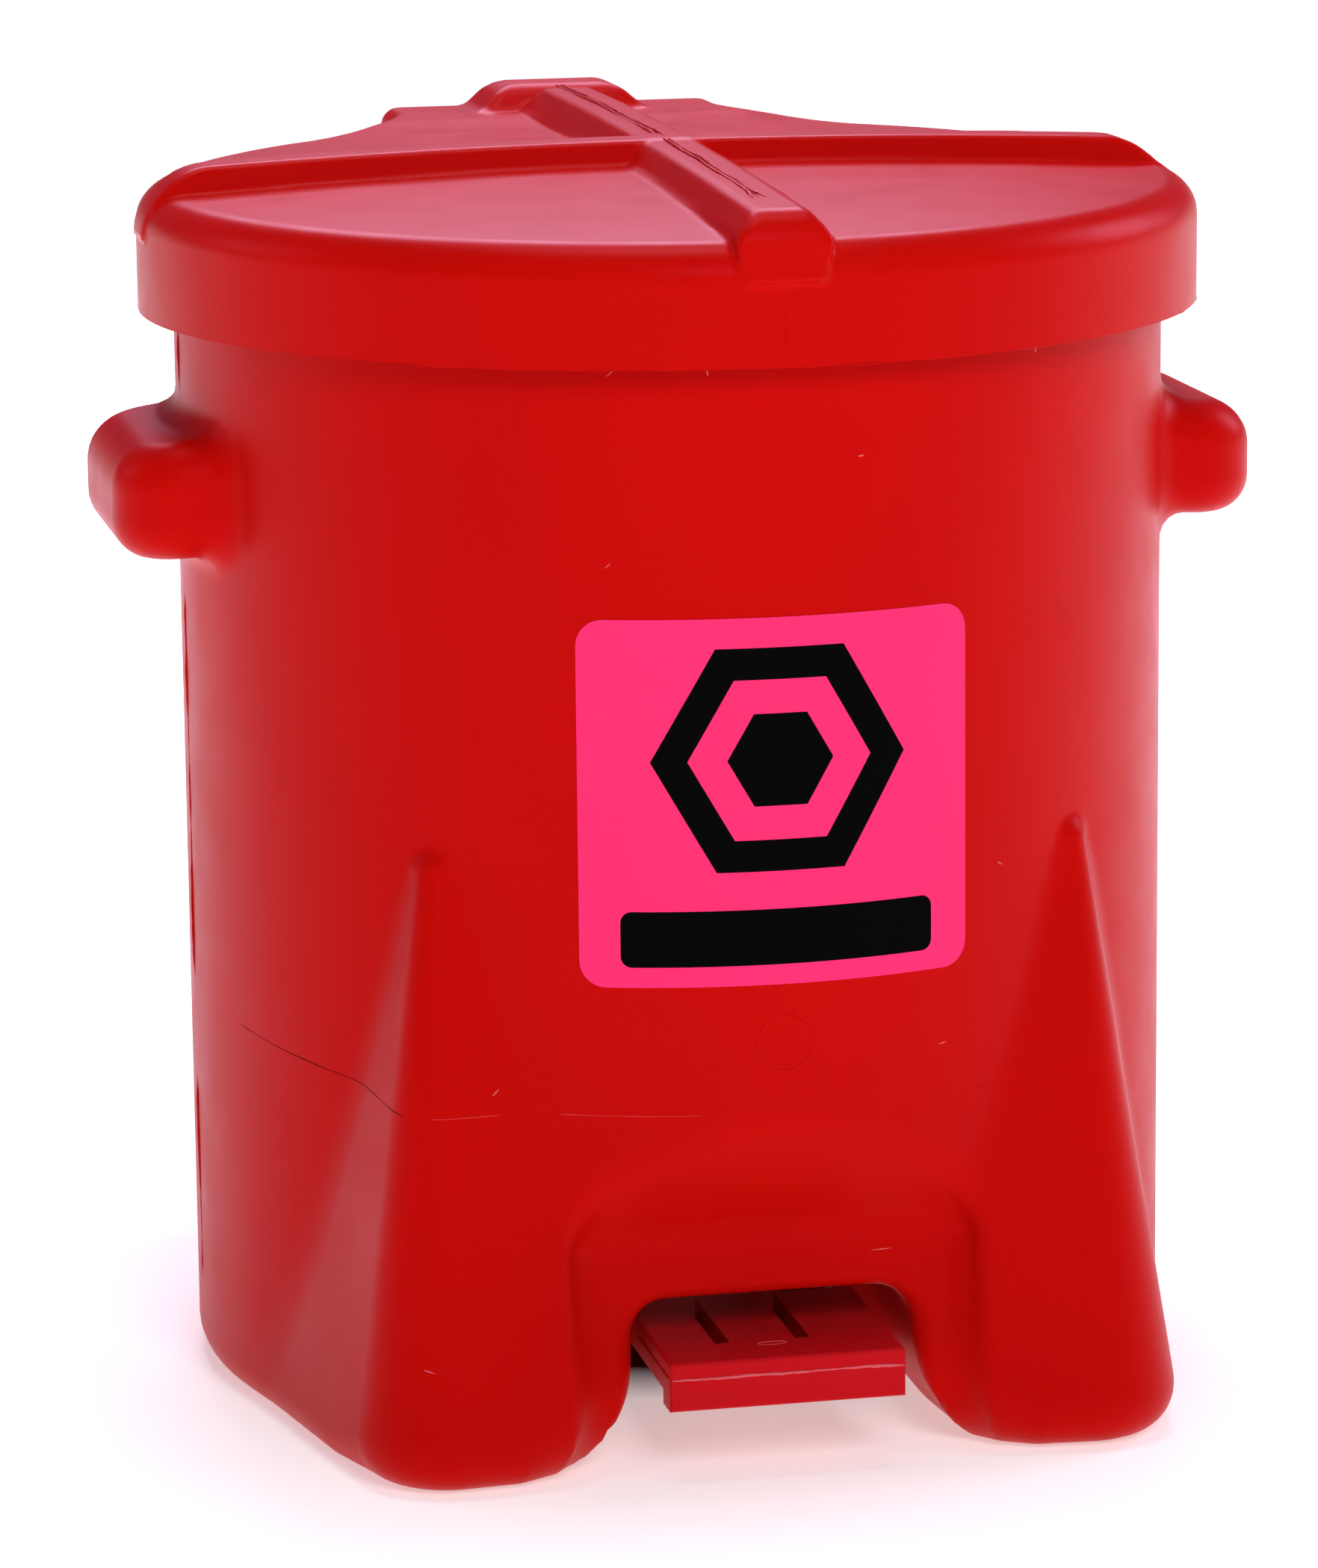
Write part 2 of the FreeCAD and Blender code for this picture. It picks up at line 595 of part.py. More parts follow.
def slot_outline(near, far, half):
    """Round-ended slot from near to far along the line through the hinge axis."""
    start, end = hinge_point + toward * near, hinge_point + toward * far
    side = aside * half
    return Part.Wire([
        Part.makeLine(start + side, end + side),
        Part.Arc(end + side, end + toward * half, end - side).toShape(),
        Part.makeLine(end - side, start - side),
        Part.Arc(start - side, start - toward * half, start + side).toShape(),
    ])


slot.Shape = Part.Face(slot_outline(size("rod_arm"), slot_far, slot_half_width)).extrude(through_plate)
flange_holes = [
    rod(f"link_hole_{i}", "dim.small_screw_radius", (at, ROD_Y, f"{TAIL_CEILING} - 5"), "10")
    for i, at in enumerate(LINK_SCREWS)
]
link = cut("link", fuse("link_blank", [strap, strap_end, flange]), [slot] + flange_holes)
node("lid_lift_bracket", [link])
node("lid_bracket_screws", [
    fuse(f"link_screw_{i}", [
        rod(f"link_screw_shank_{i}", "dim.small_screw_radius",
            (at, ROD_Y, f"{TAIL_CEILING} - dim.link_plate"),
            "dim.small_screw_reach + dim.link_plate - dim.small_screw_gap"),
        rod(f"link_screw_head_{i}", "dim.small_screw_head",
            (at, ROD_Y, f"{TAIL_CEILING} - dim.link_plate - dim.head_thick"), "dim.head_thick"),
    ])
    for i, at in enumerate(LINK_SCREWS)
])

# ---------------------------------------------------------------- lift rod

EYE_Z = f"(dim.pivot_z - {HALF_RISE})"


def bend(name, first_angle, z):
    """Quarter bend of the rod, between its upright and a leg."""
    ring = doc.addObject("Part::Torus", name)
    ring.Placement = Placement(
        Vector(), Rotation(Vector(1, 0, 0), 90).multiply(Rotation(Vector(0, 0, 1), first_angle)))
    ring.Angle3 = 90
    return bind(ring, Radius1="dim.rod_bend", Radius2="dim.rod_radius",
                x="dim.rod_x + dim.rod_bend", y=ROD_Y, z=z)


def leg(name, z):
    start = "dim.rod_x + dim.rod_bend"
    return rod(name, "dim.rod_radius", (start, ROD_Y, z), f"dim.rod_leg_end - ({start})", ALONG_X)


upright = rod("rod_upright", "dim.rod_radius", ("dim.rod_x", ROD_Y, f"{EYE_Z} + dim.rod_bend"),
              f"{LEG_TOP_Z} - {EYE_Z} - 2 * dim.rod_bend")
node("lift_rod", [fuse("lift_rod_wire", [
    upright,
    bend("rod_top_bend", 90, f"{LEG_TOP_Z} - dim.rod_bend"),
    bend("rod_bottom_bend", 180, f"{EYE_Z} + dim.rod_bend"),
    leg("rod_top_leg", LEG_TOP_Z),
    leg("rod_bottom_leg", EYE_Z),
])])
LEG_NUT_X = "(dim.rod_leg_end - dim.push_nut_thick - dim.shaft_end)"
for place, level in (("top", LEG_TOP_Z), ("bottom", EYE_Z)):
    node(f"lift_rod_{place}_push_nut", [
        washer(f"rod_{place}_push_nut", "dim.rod_radius", "dim.rod_radius + dim.rod_nut_wide",
               "dim.push_nut_thick", (LEG_NUT_X, ROD_Y, level)),
    ])

# ---------------------------------------------------------------- rod guide

LOW, HIGH = "dim.guide_z - dim.guide_half_height", "dim.guide_z + dim.guide_half_height"
guide_feet = box("guide_feet", ("dim.rod_x - dim.guide_half_width", "dim.rod_x + dim.guide_half_width"),
                 ("dim.tub_radius - dim.guide_root", "dim.tub_radius + dim.guide_foot"), (LOW, HIGH))
guide_boss = box("guide_boss", ("dim.rod_x - dim.guide_depth", "dim.rod_x + dim.guide_depth"),
                 ("dim.tub_radius - dim.guide_root", f"{ROD_Y} + dim.guide_depth"), (LOW, HIGH))
guide_seat = rod("guide_seat", "dim.tub_radius", ("0", "0", f"{LOW} - 1"),
                 "2 * dim.guide_half_height + 2")
guide_bore = rod("guide_bore", "dim.rod_radius + dim.running_gap",
                 ("dim.rod_x", ROD_Y, f"{LOW} - 1"), "2 * dim.guide_half_height + 2")
guide_screw_holes = [
    rod(f"guide_hole_{i}", "dim.small_screw_radius", (at, "dim.tub_radius - 8", "dim.guide_z"),
        "20", ALONG_Y)
    for i, at in enumerate(GUIDE_SCREWS)
]
node("lift_rod_guide", [cut("guide", fuse("guide_blank", [guide_feet, guide_boss]),
                            [guide_seat, guide_bore] + guide_screw_holes)])
GUIDE_FACE = "dim.tub_radius + dim.guide_foot"
node("lift_rod_guide_screws", [
    fuse(f"guide_screw_{i}", [
        rod(f"guide_screw_shank_{i}", "dim.small_screw_radius",
            (at, f"{GUIDE_FACE} - dim.guide_foot - dim.small_screw_reach", "dim.guide_z"),
            "dim.guide_foot + dim.small_screw_reach", ALONG_Y),
        rod(f"guide_screw_head_{i}", "dim.small_screw_head", (at, GUIDE_FACE, "dim.guide_z"),
            "dim.head_thick", ALONG_Y),
    ])
    for i, at in enumerate(GUIDE_SCREWS)
])

# ---------------------------------------------------------------- pedal lever

tread_span = ("-dim.tread_half_width", "dim.tread_half_width")
deck = box("tread_deck", tread_span, ("-dim.tread_front", "-dim.tread_back"),
           ("dim.tread_bottom", "dim.tread_top"))
lip = box("tread_lip_block", tread_span, ("-dim.tread_front", "-dim.tread_front + dim.tread_lip_depth"),
          ("dim.tread_lip", "dim.tread_top"))
doc.recompute()
tread = fillet(
    "tread", fuse("tread_blank", [deck, lip]), size("tread_round"),
    lambda edge: edge.CenterOfMass.y < -size("tread_back") - 1
    and (abs(edge.CenterOfMass.z - size("tread_top")) < 0.01
         or abs(edge.CenterOfMass.y + size("tread_front")) < 0.01),
)
grooves = [
    box(f"tread_groove_{name}", (f"{at} - dim.groove_width / 2", f"{at} + dim.groove_width / 2"),
        ("-dim.groove_front", "-dim.tread_back + 1"),
        ("dim.tread_top - dim.groove_depth", "dim.tread_top + 1"))
    for name, at in (("left", "dim.groove_first"), ("right", "dim.groove_second"))
]
web = box("lever_web", ("-dim.web_half_width", "dim.web_half_width"),
          ("-dim.tread_back - dim.web_overlap", "dim.pivot_y"),
          ("dim.pivot_z - dim.arm_height / 2", "dim.pivot_z + dim.arm_height / 2"))
hub = rod("lever_hub", "dim.hub_radius", ("-dim.hub_half_width", "dim.pivot_y", "dim.pivot_z"),
          "2 * dim.hub_half_width", ALONG_X)
tail_reach = size("eye_y") - size("pivot_y")
tail_dip = math.degrees(math.atan(size("rod_arm") * math.tan(half_swing) / tail_reach))
tail_arm = doc.addObject("Part::Box", "lever_tail_arm")
tail_arm.Placement = Placement(Vector(), Rotation(Vector(1, 0, 0), -tail_dip))
bind(tail_arm, x="-dim.arm_half_width", y="dim.pivot_y", z="dim.pivot_z - dim.arm_height / 2",
     Length="2 * dim.arm_half_width", Width="dim.eye_y - dim.pivot_y", Height="dim.arm_height")
eye = rod("lever_eye", "dim.eye_radius", ("-dim.arm_half_width", "dim.eye_y", EYE_Z),
          "2 * dim.arm_half_width", ALONG_X)
hub_bore = rod("lever_hub_bore", "dim.bush_radius",
               ("-dim.hub_half_width - 1", "dim.pivot_y", "dim.pivot_z"),
               "2 * dim.hub_half_width + 2", ALONG_X)
eye_bore = rod("lever_eye_bore", "dim.rod_radius + dim.slot_play",
               ("-dim.arm_half_width - 1", "dim.eye_y", EYE_Z), "2 * dim.arm_half_width + 2", ALONG_X)
lever = cut("lever", fuse("lever_blank", [cut("grooved_tread", tread, grooves), web, hub, tail_arm, eye]),
            [hub_bore, eye_bore])
node("pedal_lever", [lever])

PIVOT = ("dim.pivot_y", "dim.pivot_z")


def bush(name, side):
    """Flanged bush, pressed into one end of the hub."""
    inner = "dim.hub_half_width - dim.bush_length"
    sleeve_at = inner if side > 0 else "-dim.hub_half_width"
    flange_at = "dim.hub_half_width" if side > 0 else "-dim.hub_half_width - dim.bush_flange"
    sleeve = rod(name + "_sleeve", "dim.bush_radius", (sleeve_at, *PIVOT), "dim.bush_length",
                 ALONG_X)
    collar = rod(name + "_collar", "dim.bush_flange_radius", (flange_at, *PIVOT),
                 "dim.bush_flange", ALONG_X)
    bore = rod(name + "_bore", "dim.pivot_pin_radius + dim.running_gap",
               ("-dim.hub_half_width - 5", *PIVOT), "2 * dim.hub_half_width + 10", ALONG_X)
    return cut(name, fuse(name + "_blank", [sleeve, collar]), [bore])


node("pedal_pivot_bushes", [bush("bush_left", -1), bush("bush_right", 1)])

# ---------------------------------------------------------------- pivot saddle

saddle_span = ("dim.pivot_y - dim.saddle_half_depth", "dim.pivot_y + dim.saddle_half_depth")
base = box("saddle_base", ("-dim.saddle_half_width", "dim.saddle_half_width"), saddle_span,
           ("dim.tunnel_height - dim.saddle_plate", "dim.tunnel_height"))


def saddle_ear(name, side):
    """Ear of the saddle: an upright tongue with a round end below the pivot."""
    near = "dim.saddle_ear" if side > 0 else "-dim.saddle_ear - dim.saddle_plate"
    tongue = box(name + "_tongue", (near, f"{near} + dim.saddle_plate"),
                 ("dim.pivot_y - dim.saddle_drop", "dim.pivot_y + dim.saddle_drop"),
                 ("dim.pivot_z", "dim.tunnel_height"))
    end = rod(name + "_end", "dim.saddle_drop", (near, *PIVOT), "dim.saddle_plate", ALONG_X)
    return [tongue, end]


saddle_blank = fuse("saddle_blank", [base] + saddle_ear("saddle_ear_left", -1)
                    + saddle_ear("saddle_ear_right", 1))
saddle_tools = [rod("saddle_pin_hole", "dim.pivot_pin_radius", ("-dim.saddle_half_width", *PIVOT),
                    "2 * dim.saddle_half_width", ALONG_X)]
saddle_tools += [
    rod(f"saddle_screw_hole_{i}", "dim.saddle_screw_radius",
        (f"{side} * dim.saddle_screw_x", "dim.pivot_y", "dim.tunnel_height - 5"), "10")
    for i, side in enumerate((-1, 1))
]
node("pedal_pivot_bracket", [cut("saddle", saddle_blank, saddle_tools)])

SADDLE_OUT = "(dim.saddle_ear + dim.saddle_plate)"
PIN_HALF = f"({SADDLE_OUT} + dim.push_nut_thick + dim.shaft_end)"
node("pedal_pivot_pin", [rod("pivot_pin", "dim.pivot_pin_radius", (f"-{PIN_HALF}", *PIVOT),
                             f"2 * {PIN_HALF}", ALONG_X)])
node("pedal_pivot_push_nuts", both_sides(
    "pivot_push_nut", "dim.pivot_pin_radius", "dim.pivot_pin_radius + dim.push_nut_wide",
    "dim.push_nut_thick", SADDLE_OUT, *PIVOT))

HUMP = "(dim.tunnel_height + dim.wall)"
SADDLE_UNDER = "(dim.tunnel_height - dim.saddle_plate)"
SADDLE_TIP = f"({SADDLE_UNDER} - dim.saddle_nut_thick - dim.saddle_screw_tail)"


def nut(name, x):
    """Hexagon nut under the saddle."""
    prism = doc.addObject("Part::Prism", name + "_prism")
    prism.Polygon = 6
    bind(prism, Circumradius="dim.saddle_nut_radius", Height="dim.saddle_nut_thick",
         x=x, y="dim.pivot_y", z=f"{SADDLE_UNDER} - dim.saddle_nut_thick")
    hole = rod(name + "_hole", "dim.saddle_screw_radius",
               (x, "dim.pivot_y", f"{SADDLE_UNDER} - dim.saddle_nut_thick - 1"),
               "dim.saddle_nut_thick + 2")
    return cut(name, prism, [hole])


screws, washers, nuts = [], [], []
for name, side in (("left", -1), ("right", 1)):
    at = f"{side} * dim.saddle_screw_x"
    washers.append(washer(f"saddle_washer_{name}", "dim.saddle_screw_radius",
                          "dim.saddle_washer_radius", "dim.washer_thick",
                          (at, "dim.pivot_y", HUMP), Rotation()))
    screws.append(fuse(f"saddle_screw_{name}", [
        rod(f"saddle_shank_{name}", "dim.saddle_screw_radius",
            (at, "dim.pivot_y", SADDLE_TIP), f"{HUMP} + dim.washer_thick - {SADDLE_TIP}"),
        rod(f"saddle_head_{name}", "dim.saddle_screw_head",
            (at, "dim.pivot_y", f"{HUMP} + dim.washer_thick"), "dim.saddle_head_thick"),
    ]))
    nuts.append(nut(f"saddle_nut_{name}", at))
node("pedal_bracket_screws", screws)
node("pedal_bracket_washers", washers)
node("pedal_bracket_nuts", nuts)

# ---------------------------------------------------------------- checks and files

doc.recompute()
for obj in doc.Objects:
    if "Invalid" in obj.State or "Error" in obj.State:
        raise RuntimeError(f"{obj.Name} failed: {obj.State}")
for part in nodes:
    if part.Shape.isNull() or not part.Shape.isValid() or not part.Shape.Solids:
        raise RuntimeError(f"{part.Label} has no valid shape")

os.makedirs("parts", exist_ok=True)
for part in nodes:
    part.Shape.exportStep(f"parts/{part.Label}.step")
    span = part.Shape.BoundBox
    print(f"{part.Label}: {len(part.Shape.Solids)} solid(s), "
          f"{span.XLength:.1f} x {span.YLength:.1f} x {span.ZLength:.1f} mm")
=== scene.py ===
"""Looks of the pedal waste bin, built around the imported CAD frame.

The tub and the lid are smooth blow-moulded shells. Each is the surface of a distance field that is
put together from rounded solids, in millimetres about the tub's own axis, and meshed here.
"""
import json
import math

import bmesh
import bpy
import numpy as np
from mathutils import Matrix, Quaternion, Vector


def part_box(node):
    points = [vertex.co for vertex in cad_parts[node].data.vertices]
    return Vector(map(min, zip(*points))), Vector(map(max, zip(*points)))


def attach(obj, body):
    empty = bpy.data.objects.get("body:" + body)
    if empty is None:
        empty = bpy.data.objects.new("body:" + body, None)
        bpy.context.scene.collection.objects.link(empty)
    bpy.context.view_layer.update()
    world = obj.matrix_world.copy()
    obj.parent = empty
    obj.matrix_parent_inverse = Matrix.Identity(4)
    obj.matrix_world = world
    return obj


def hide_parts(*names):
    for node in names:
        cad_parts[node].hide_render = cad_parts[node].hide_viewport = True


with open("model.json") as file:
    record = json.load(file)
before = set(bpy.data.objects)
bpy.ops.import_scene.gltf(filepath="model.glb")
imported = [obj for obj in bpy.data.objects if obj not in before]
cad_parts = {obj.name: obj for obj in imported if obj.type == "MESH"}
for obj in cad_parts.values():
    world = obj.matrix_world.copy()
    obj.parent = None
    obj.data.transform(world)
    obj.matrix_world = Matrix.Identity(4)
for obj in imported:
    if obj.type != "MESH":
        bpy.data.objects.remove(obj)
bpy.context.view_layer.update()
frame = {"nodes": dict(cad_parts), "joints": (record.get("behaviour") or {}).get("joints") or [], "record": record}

MM = 0.001
joint_at = {joint["name"]: joint.get("pos_m") for joint in frame["joints"]}

# The tub's axis, and the sizes that the frame gives, in millimetres.
HINGE_BEHIND_AXIS = 217.0
AXIS_Y = joint_at["lid_hinge"][1] / MM - HINGE_BEHIND_AXIS
HINGE_Z = joint_at["lid_hinge"][2] / MM


def span(node):
    """A CAD node's corners in millimetres about the tub's axis."""
    low, high = (np.array(corner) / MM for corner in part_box(node))
    shift = np.array([0.0, AXIS_Y, 0.0])
    return low - shift, high - shift


tub_low, tub_high = span("tub_upper")
base_low, base_high = span("tub_base")
lid_low, lid_high = span("lid")
label_low, label_high = span("front_label")
lever_low, lever_high = span("pedal_lever")

# Tub
TUB_RADIUS = 183.5
TUB_RIM = tub_high[2]
TUB_WALL = 4.5
# Radius of the edge on the floor, what it gains at the front and rear and beside the tunnel, and
# where each gain starts and the run over which it grows.
BASE_ROUND, FRONT_BASE_ROUND, TUNNEL_BASE_ROUND = 14.0, 6.0, 20.0
FRONT_BASE_FROM, FRONT_BASE_RUN = 130.0, 30.0
TUNNEL_BASE_FROM, TUNNEL_BASE_RUN = 95.0, 35.0
FOOT_REACH, FOOT_BEARING, FOOT_RADIUS = 194.8, math.radians(37.0), 37.2
FOOT_HEIGHT, APEX_BEARING, APEX_OUT = 224.0, math.radians(39.8), 4.0
FOOT_TIP, FOOT_BLEND, FOOT_SCALE_MOST, FOOT_SCALE_LEAST = 8.0, 4.0, 1.5, 1e-3
GRIP_REACH = tub_high[0]
GRIP_HALF, GRIP_LOW, GRIP_HIGH = 60.0, 317.5, 361.0
GRIP_CORNER, GRIP_EDGE, GRIP_BLEND = 25.0, 15.0, 9.0
GRIP_ROOT = 0.6 * TUB_RADIUS
GRIP_UNDER_FALL, GRIP_TOP_FALL = 0.06, 0.13
RECESS_HALF, RECESS_FACE, RECESS_CREASE = 75.0, 158.0, 82.0
RECESS_TOP, RECESS_FOOT = 125.0, 183.0
RECESS_INNER, RECESS_EDGE, RECESS_BEND = 14.0, 4.5, 7.0
TUNNEL_HALF, TUNNEL_TOP, TUNNEL_CORNER, TUNNEL_LIP = 51.0, 60.0, 12.0, 7.0
TUNNEL_DRAFT = 0.05
EAR_X, EAR_HALF, EAR_RADIUS = 50.0, 8.0, 5.6
EAR_ROOT, EAR_EDGE, EAR_BLEND = 10.0, 1.2, 1.5

# Lid
LID_RADIUS = 196.5
LID_WALL = 4.0
LID_RIM = lid_low[2]
LID_CROWN, LID_DOME, LID_TILT, LID_SHOULDER = 450.3, 2913.0, 0.009, 12.0
TAIL_HALF, TAIL_BACK, TAIL_TOP, TAIL_ROUND = 69.0, lid_high[1], 450.0, 7.0
TAIL_FADE = (112.0, 60.0)
TAIL_START, TAIL_FILLET = 60.0, 26.0
TAIL_RISE_FROM, TAIL_RISE_RUN = 100.0, 75.0
TAIL_SHOULDER_FROM, TAIL_SHOULDER_RUN = 120.0, 60.0
RIB_TOP, RIB_FOOT, RIB_PROUD = lid_high[2], 429.5, 1.5
LONG_RIB, LONG_FLARE, LONG_FOOT = 9.5, 0.85, 18.0
CROSS_RIB, CROSS_FLARE, CROSS_FOOT = 9.5, 0.5, 15.0
FRONT_ROLL, SIDE_ROLL = 12.0, 27.0
RIB_EDGE, RIB_BLEND, RIB_CROSSING = 2.0, 2.5, 2.0
RIB_STEEP, RIB_STEEP_LEVEL, RIB_FLANK_BEND = 0.27, 444.0, 3.0
# A rib's top line: how far it starts below the lid's highest point, its tilt and its sag.
RIB_DROP, LONG_TILT, LONG_SAG, CROSS_SAG = 0.7, 0.0165, 15000, 6600
RIGHT_END_TRIM, RIGHT_END_RUN = 0.025, 60
BOSS_FOOT, BOSS_TOP = 34.0, 23.0
BOSS_FRONT, BOSS_BACK, BOSS_SLOPE = 203.0, 231.0, 0.9
BOSS_CLEAR, BOSS_DEPTH = 0.5, 6
BOSS_EDGE, BOSS_TOP_EDGE, BOSS_BLEND = 3.0, 4.0, 2.5
LONG_RIB_BACK = BOSS_FRONT + 8
CHANNEL_BACK = 0.75 * LID_RADIUS


# ---------------------------------------------------------------- distance fields


def round_max(a, b, radius):
    """Intersection with a rounded edge."""
    corner = np.hypot(np.maximum(a + radius, 0), np.maximum(b + radius, 0))
    return np.minimum(np.maximum(a, b), -radius) + corner


def round_min(a, b, radius):
    """Union with a filleted corner."""
    return -round_max(-a, -b, radius)


def soft_min(a, b, width):
    """Union whose crease fades over width, for faces that meet at a shallow angle."""
    near = np.clip(0.5 + 0.5 * (b - a) / width, 0, 1)
    return b + (a - b) * near - width * near * (1 - near)


def slab(value, low, high):
    """Between two planes."""
    return np.abs(value - (low + high) / 2) - (high - low) / 2


def hull_of_circles(x, y, small_at, small, big_at, big):
    """Distance to the outline round two circles and their common tangents."""
    ax, ay = small_at[0] - big_at[0], small_at[1] - big_at[1]
    reach = np.hypot(ax, ay)
    ax, ay = ax / reach, ay / reach
    px, py = x - big_at[0], y - big_at[1]
    along = px * ax + py * ay
    aside = np.abs(px * ay - py * ax)
    lean = (big - small) / reach
    straight = np.sqrt(1 - lean ** 2)
    station = straight * along - lean * aside
    flank = straight * aside + lean * along - big
    past = np.hypot(aside, along - reach) - small
    before = np.hypot(aside, along) - big
    return np.where(station < 0, before, np.where(station > straight * reach, past, flank))


def foot(x, y, z):
    """The front right foot's taper. The tip's rounding comes from growing a smaller taper."""
    radius, small = TUB_RADIUS - FOOT_TIP, FOOT_RADIUS - FOOT_TIP
    apex = np.array([math.sin(APEX_BEARING), -math.cos(APEX_BEARING)]) * (radius + APEX_OUT)
    floor = np.array([math.sin(FOOT_BEARING), -math.cos(FOOT_BEARING)]) * FOOT_REACH
    tip_z = FOOT_HEIGHT - FOOT_TIP
    scale = np.clip(1 - z / tip_z, FOOT_SCALE_LEAST, FOOT_SCALE_MOST)
    small_at = [apex[i] + (floor[i] - apex[i]) * scale for i in (0, 1)]
    big_at = [apex[i] * (1 - scale) for i in (0, 1)]
    section = hull_of_circles(x, y, small_at, small * scale, big_at, radius * scale)
    above = np.maximum(z - tip_z, 0)
    return np.hypot(np.maximum(section, 0), above) + np.minimum(section, 0) - FOOT_TIP


def grip(x, y, z):
    """The grip on the right: rounded in plan and along its edges, and lower at its outer end."""
    plan = round_max(x - GRIP_REACH, np.abs(y) - GRIP_HALF, GRIP_CORNER)
    plan = np.maximum(plan, GRIP_ROOT - x)
    out = np.maximum(x - TUB_RADIUS, 0)
    level = slab(z, GRIP_LOW - GRIP_UNDER_FALL * out, GRIP_HIGH - GRIP_TOP_FALL * out)
    return round_max(plan, level, GRIP_EDGE)


def front_recess(x, y, z):
    """The space cut away above and beside the pedal."""
    run, rise = TUB_RADIUS - RECESS_FACE, RECESS_TOP - RECESS_CREASE
    slope = ((y + RECESS_FACE) * rise + (z - RECESS_CREASE) * run) / math.hypot(run, rise)
    run, rise = RECESS_FOOT - RECESS_FACE, RECESS_CREASE
    panel = ((y + RECESS_FACE) * rise + (RECESS_CREASE - z) * run) / math.hypot(run, rise)
    depth = round_max(panel, slope, RECESS_BEND)
    return round_max(depth, np.abs(x) - RECESS_HALF, RECESS_INNER)


def hinge_ear(x, y, z):
    """Ear behind the rim that holds the lid's pin."""
    arm = np.hypot(np.maximum(y - HINGE_BEHIND_AXIS, 0), z - HINGE_Z) - EAR_RADIUS
    arm = np.maximum(arm, TUB_RADIUS - EAR_ROOT - y)
    return round_max(arm, np.abs(x - EAR_X) - EAR_HALF, EAR_EDGE)


def tub_field(x, y, z):
    """The tub's outside, as a solid plug."""
    side, fore = np.abs(x), -np.abs(y)
    tub = np.hypot(x, y) - TUB_RADIUS
    tub = soft_min(tub, foot(side, fore, z), FOOT_BLEND)
    tub = round_min(tub, grip(side, y, z), GRIP_BLEND)
    tub = round_max(tub, -front_recess(x, y, z), RECESS_EDGE)
    wall = side - TUNNEL_HALF - TUNNEL_DRAFT * (TUNNEL_TOP - z)
    tunnel = round_max(wall, z - TUNNEL_TOP, TUNNEL_CORNER)
    tub = round_max(tub, -tunnel, TUNNEL_LIP)
    at_front = np.clip((-fore - FRONT_BASE_FROM) / FRONT_BASE_RUN, 0, 1)
    at_tunnel = np.clip((TUNNEL_BASE_FROM - side) / TUNNEL_BASE_RUN, 0, 1)
    base_round = BASE_ROUND + FRONT_BASE_ROUND * at_front + TUNNEL_BASE_ROUND * at_tunnel
    tub = round_max(tub, -z, base_round)
    return round_min(tub, hinge_ear(side, y, z), EAR_BLEND)


def bar(aside, below_top, z, half_top, flare, half_foot):
    """Section of a rib: flanks that flare below its top, and steeper ones down the skirt."""
    flank = (aside - half_top - flare * below_top) / math.hypot(1, flare)
    steep = (aside - half_foot - RIB_STEEP * (z - RIB_STEEP_LEVEL)) / math.hypot(1, RIB_STEEP)
    return round_max(flank, steep, RIB_FLANK_BEND)


def long_rib_top(y):
    """Height of the front-to-back rib's top line."""
    return RIB_TOP - RIB_DROP + LONG_TILT * y - y ** 2 / LONG_SAG


def lid_ribs(x, y, z, long_back):
    """Two crossing ribs whose ends roll over the shoulder and stop on the skirt."""
    edge = LID_RADIUS + RIB_PROUD
    long_top = long_rib_top(y)
    long = bar(np.abs(x), long_top - z, z, LONG_RIB, LONG_FLARE, LONG_FOOT)
    long = np.maximum(long, y - long_back)
    long = round_max(long, round_max(np.hypot(x, y) - edge, z - long_top, FRONT_ROLL), RIB_EDGE)
    cross_top = RIB_TOP - RIB_DROP - x ** 2 / CROSS_SAG
    cross = bar(np.abs(y), cross_top - z, z, CROSS_RIB, CROSS_FLARE, CROSS_FOOT)
    right_end = 1 + RIGHT_END_TRIM * np.clip(x / RIGHT_END_RUN, 0, 1)
    end = round_max(np.hypot(x * right_end, y) - edge, z - cross_top, SIDE_ROLL)
    cross = round_max(cross, end, RIB_EDGE)
    return np.maximum(round_min(long, cross, RIB_CROSSING), RIB_FOOT - z)


def lid_boss(x, y, z):
    """Raised block on the hinge extension, with sloped sides."""
    slant = (BOSS_FOOT - BOSS_TOP) / (RIB_TOP - TAIL_TOP)
    side = (np.abs(x) - BOSS_TOP + (z - RIB_TOP) * slant) / math.hypot(1, slant)
    ends = slab(y, BOSS_FRONT, BOSS_BACK) + (z - RIB_TOP) * BOSS_SLOPE
    ends = round_max(ends / math.hypot(1, BOSS_SLOPE), y - TAIL_BACK + BOSS_CLEAR, BOSS_EDGE)
    ends = np.maximum(ends, TAIL_TOP - BOSS_DEPTH - z)
    return round_max(round_max(side, ends, BOSS_EDGE), z - RIB_TOP, BOSS_TOP_EDGE)


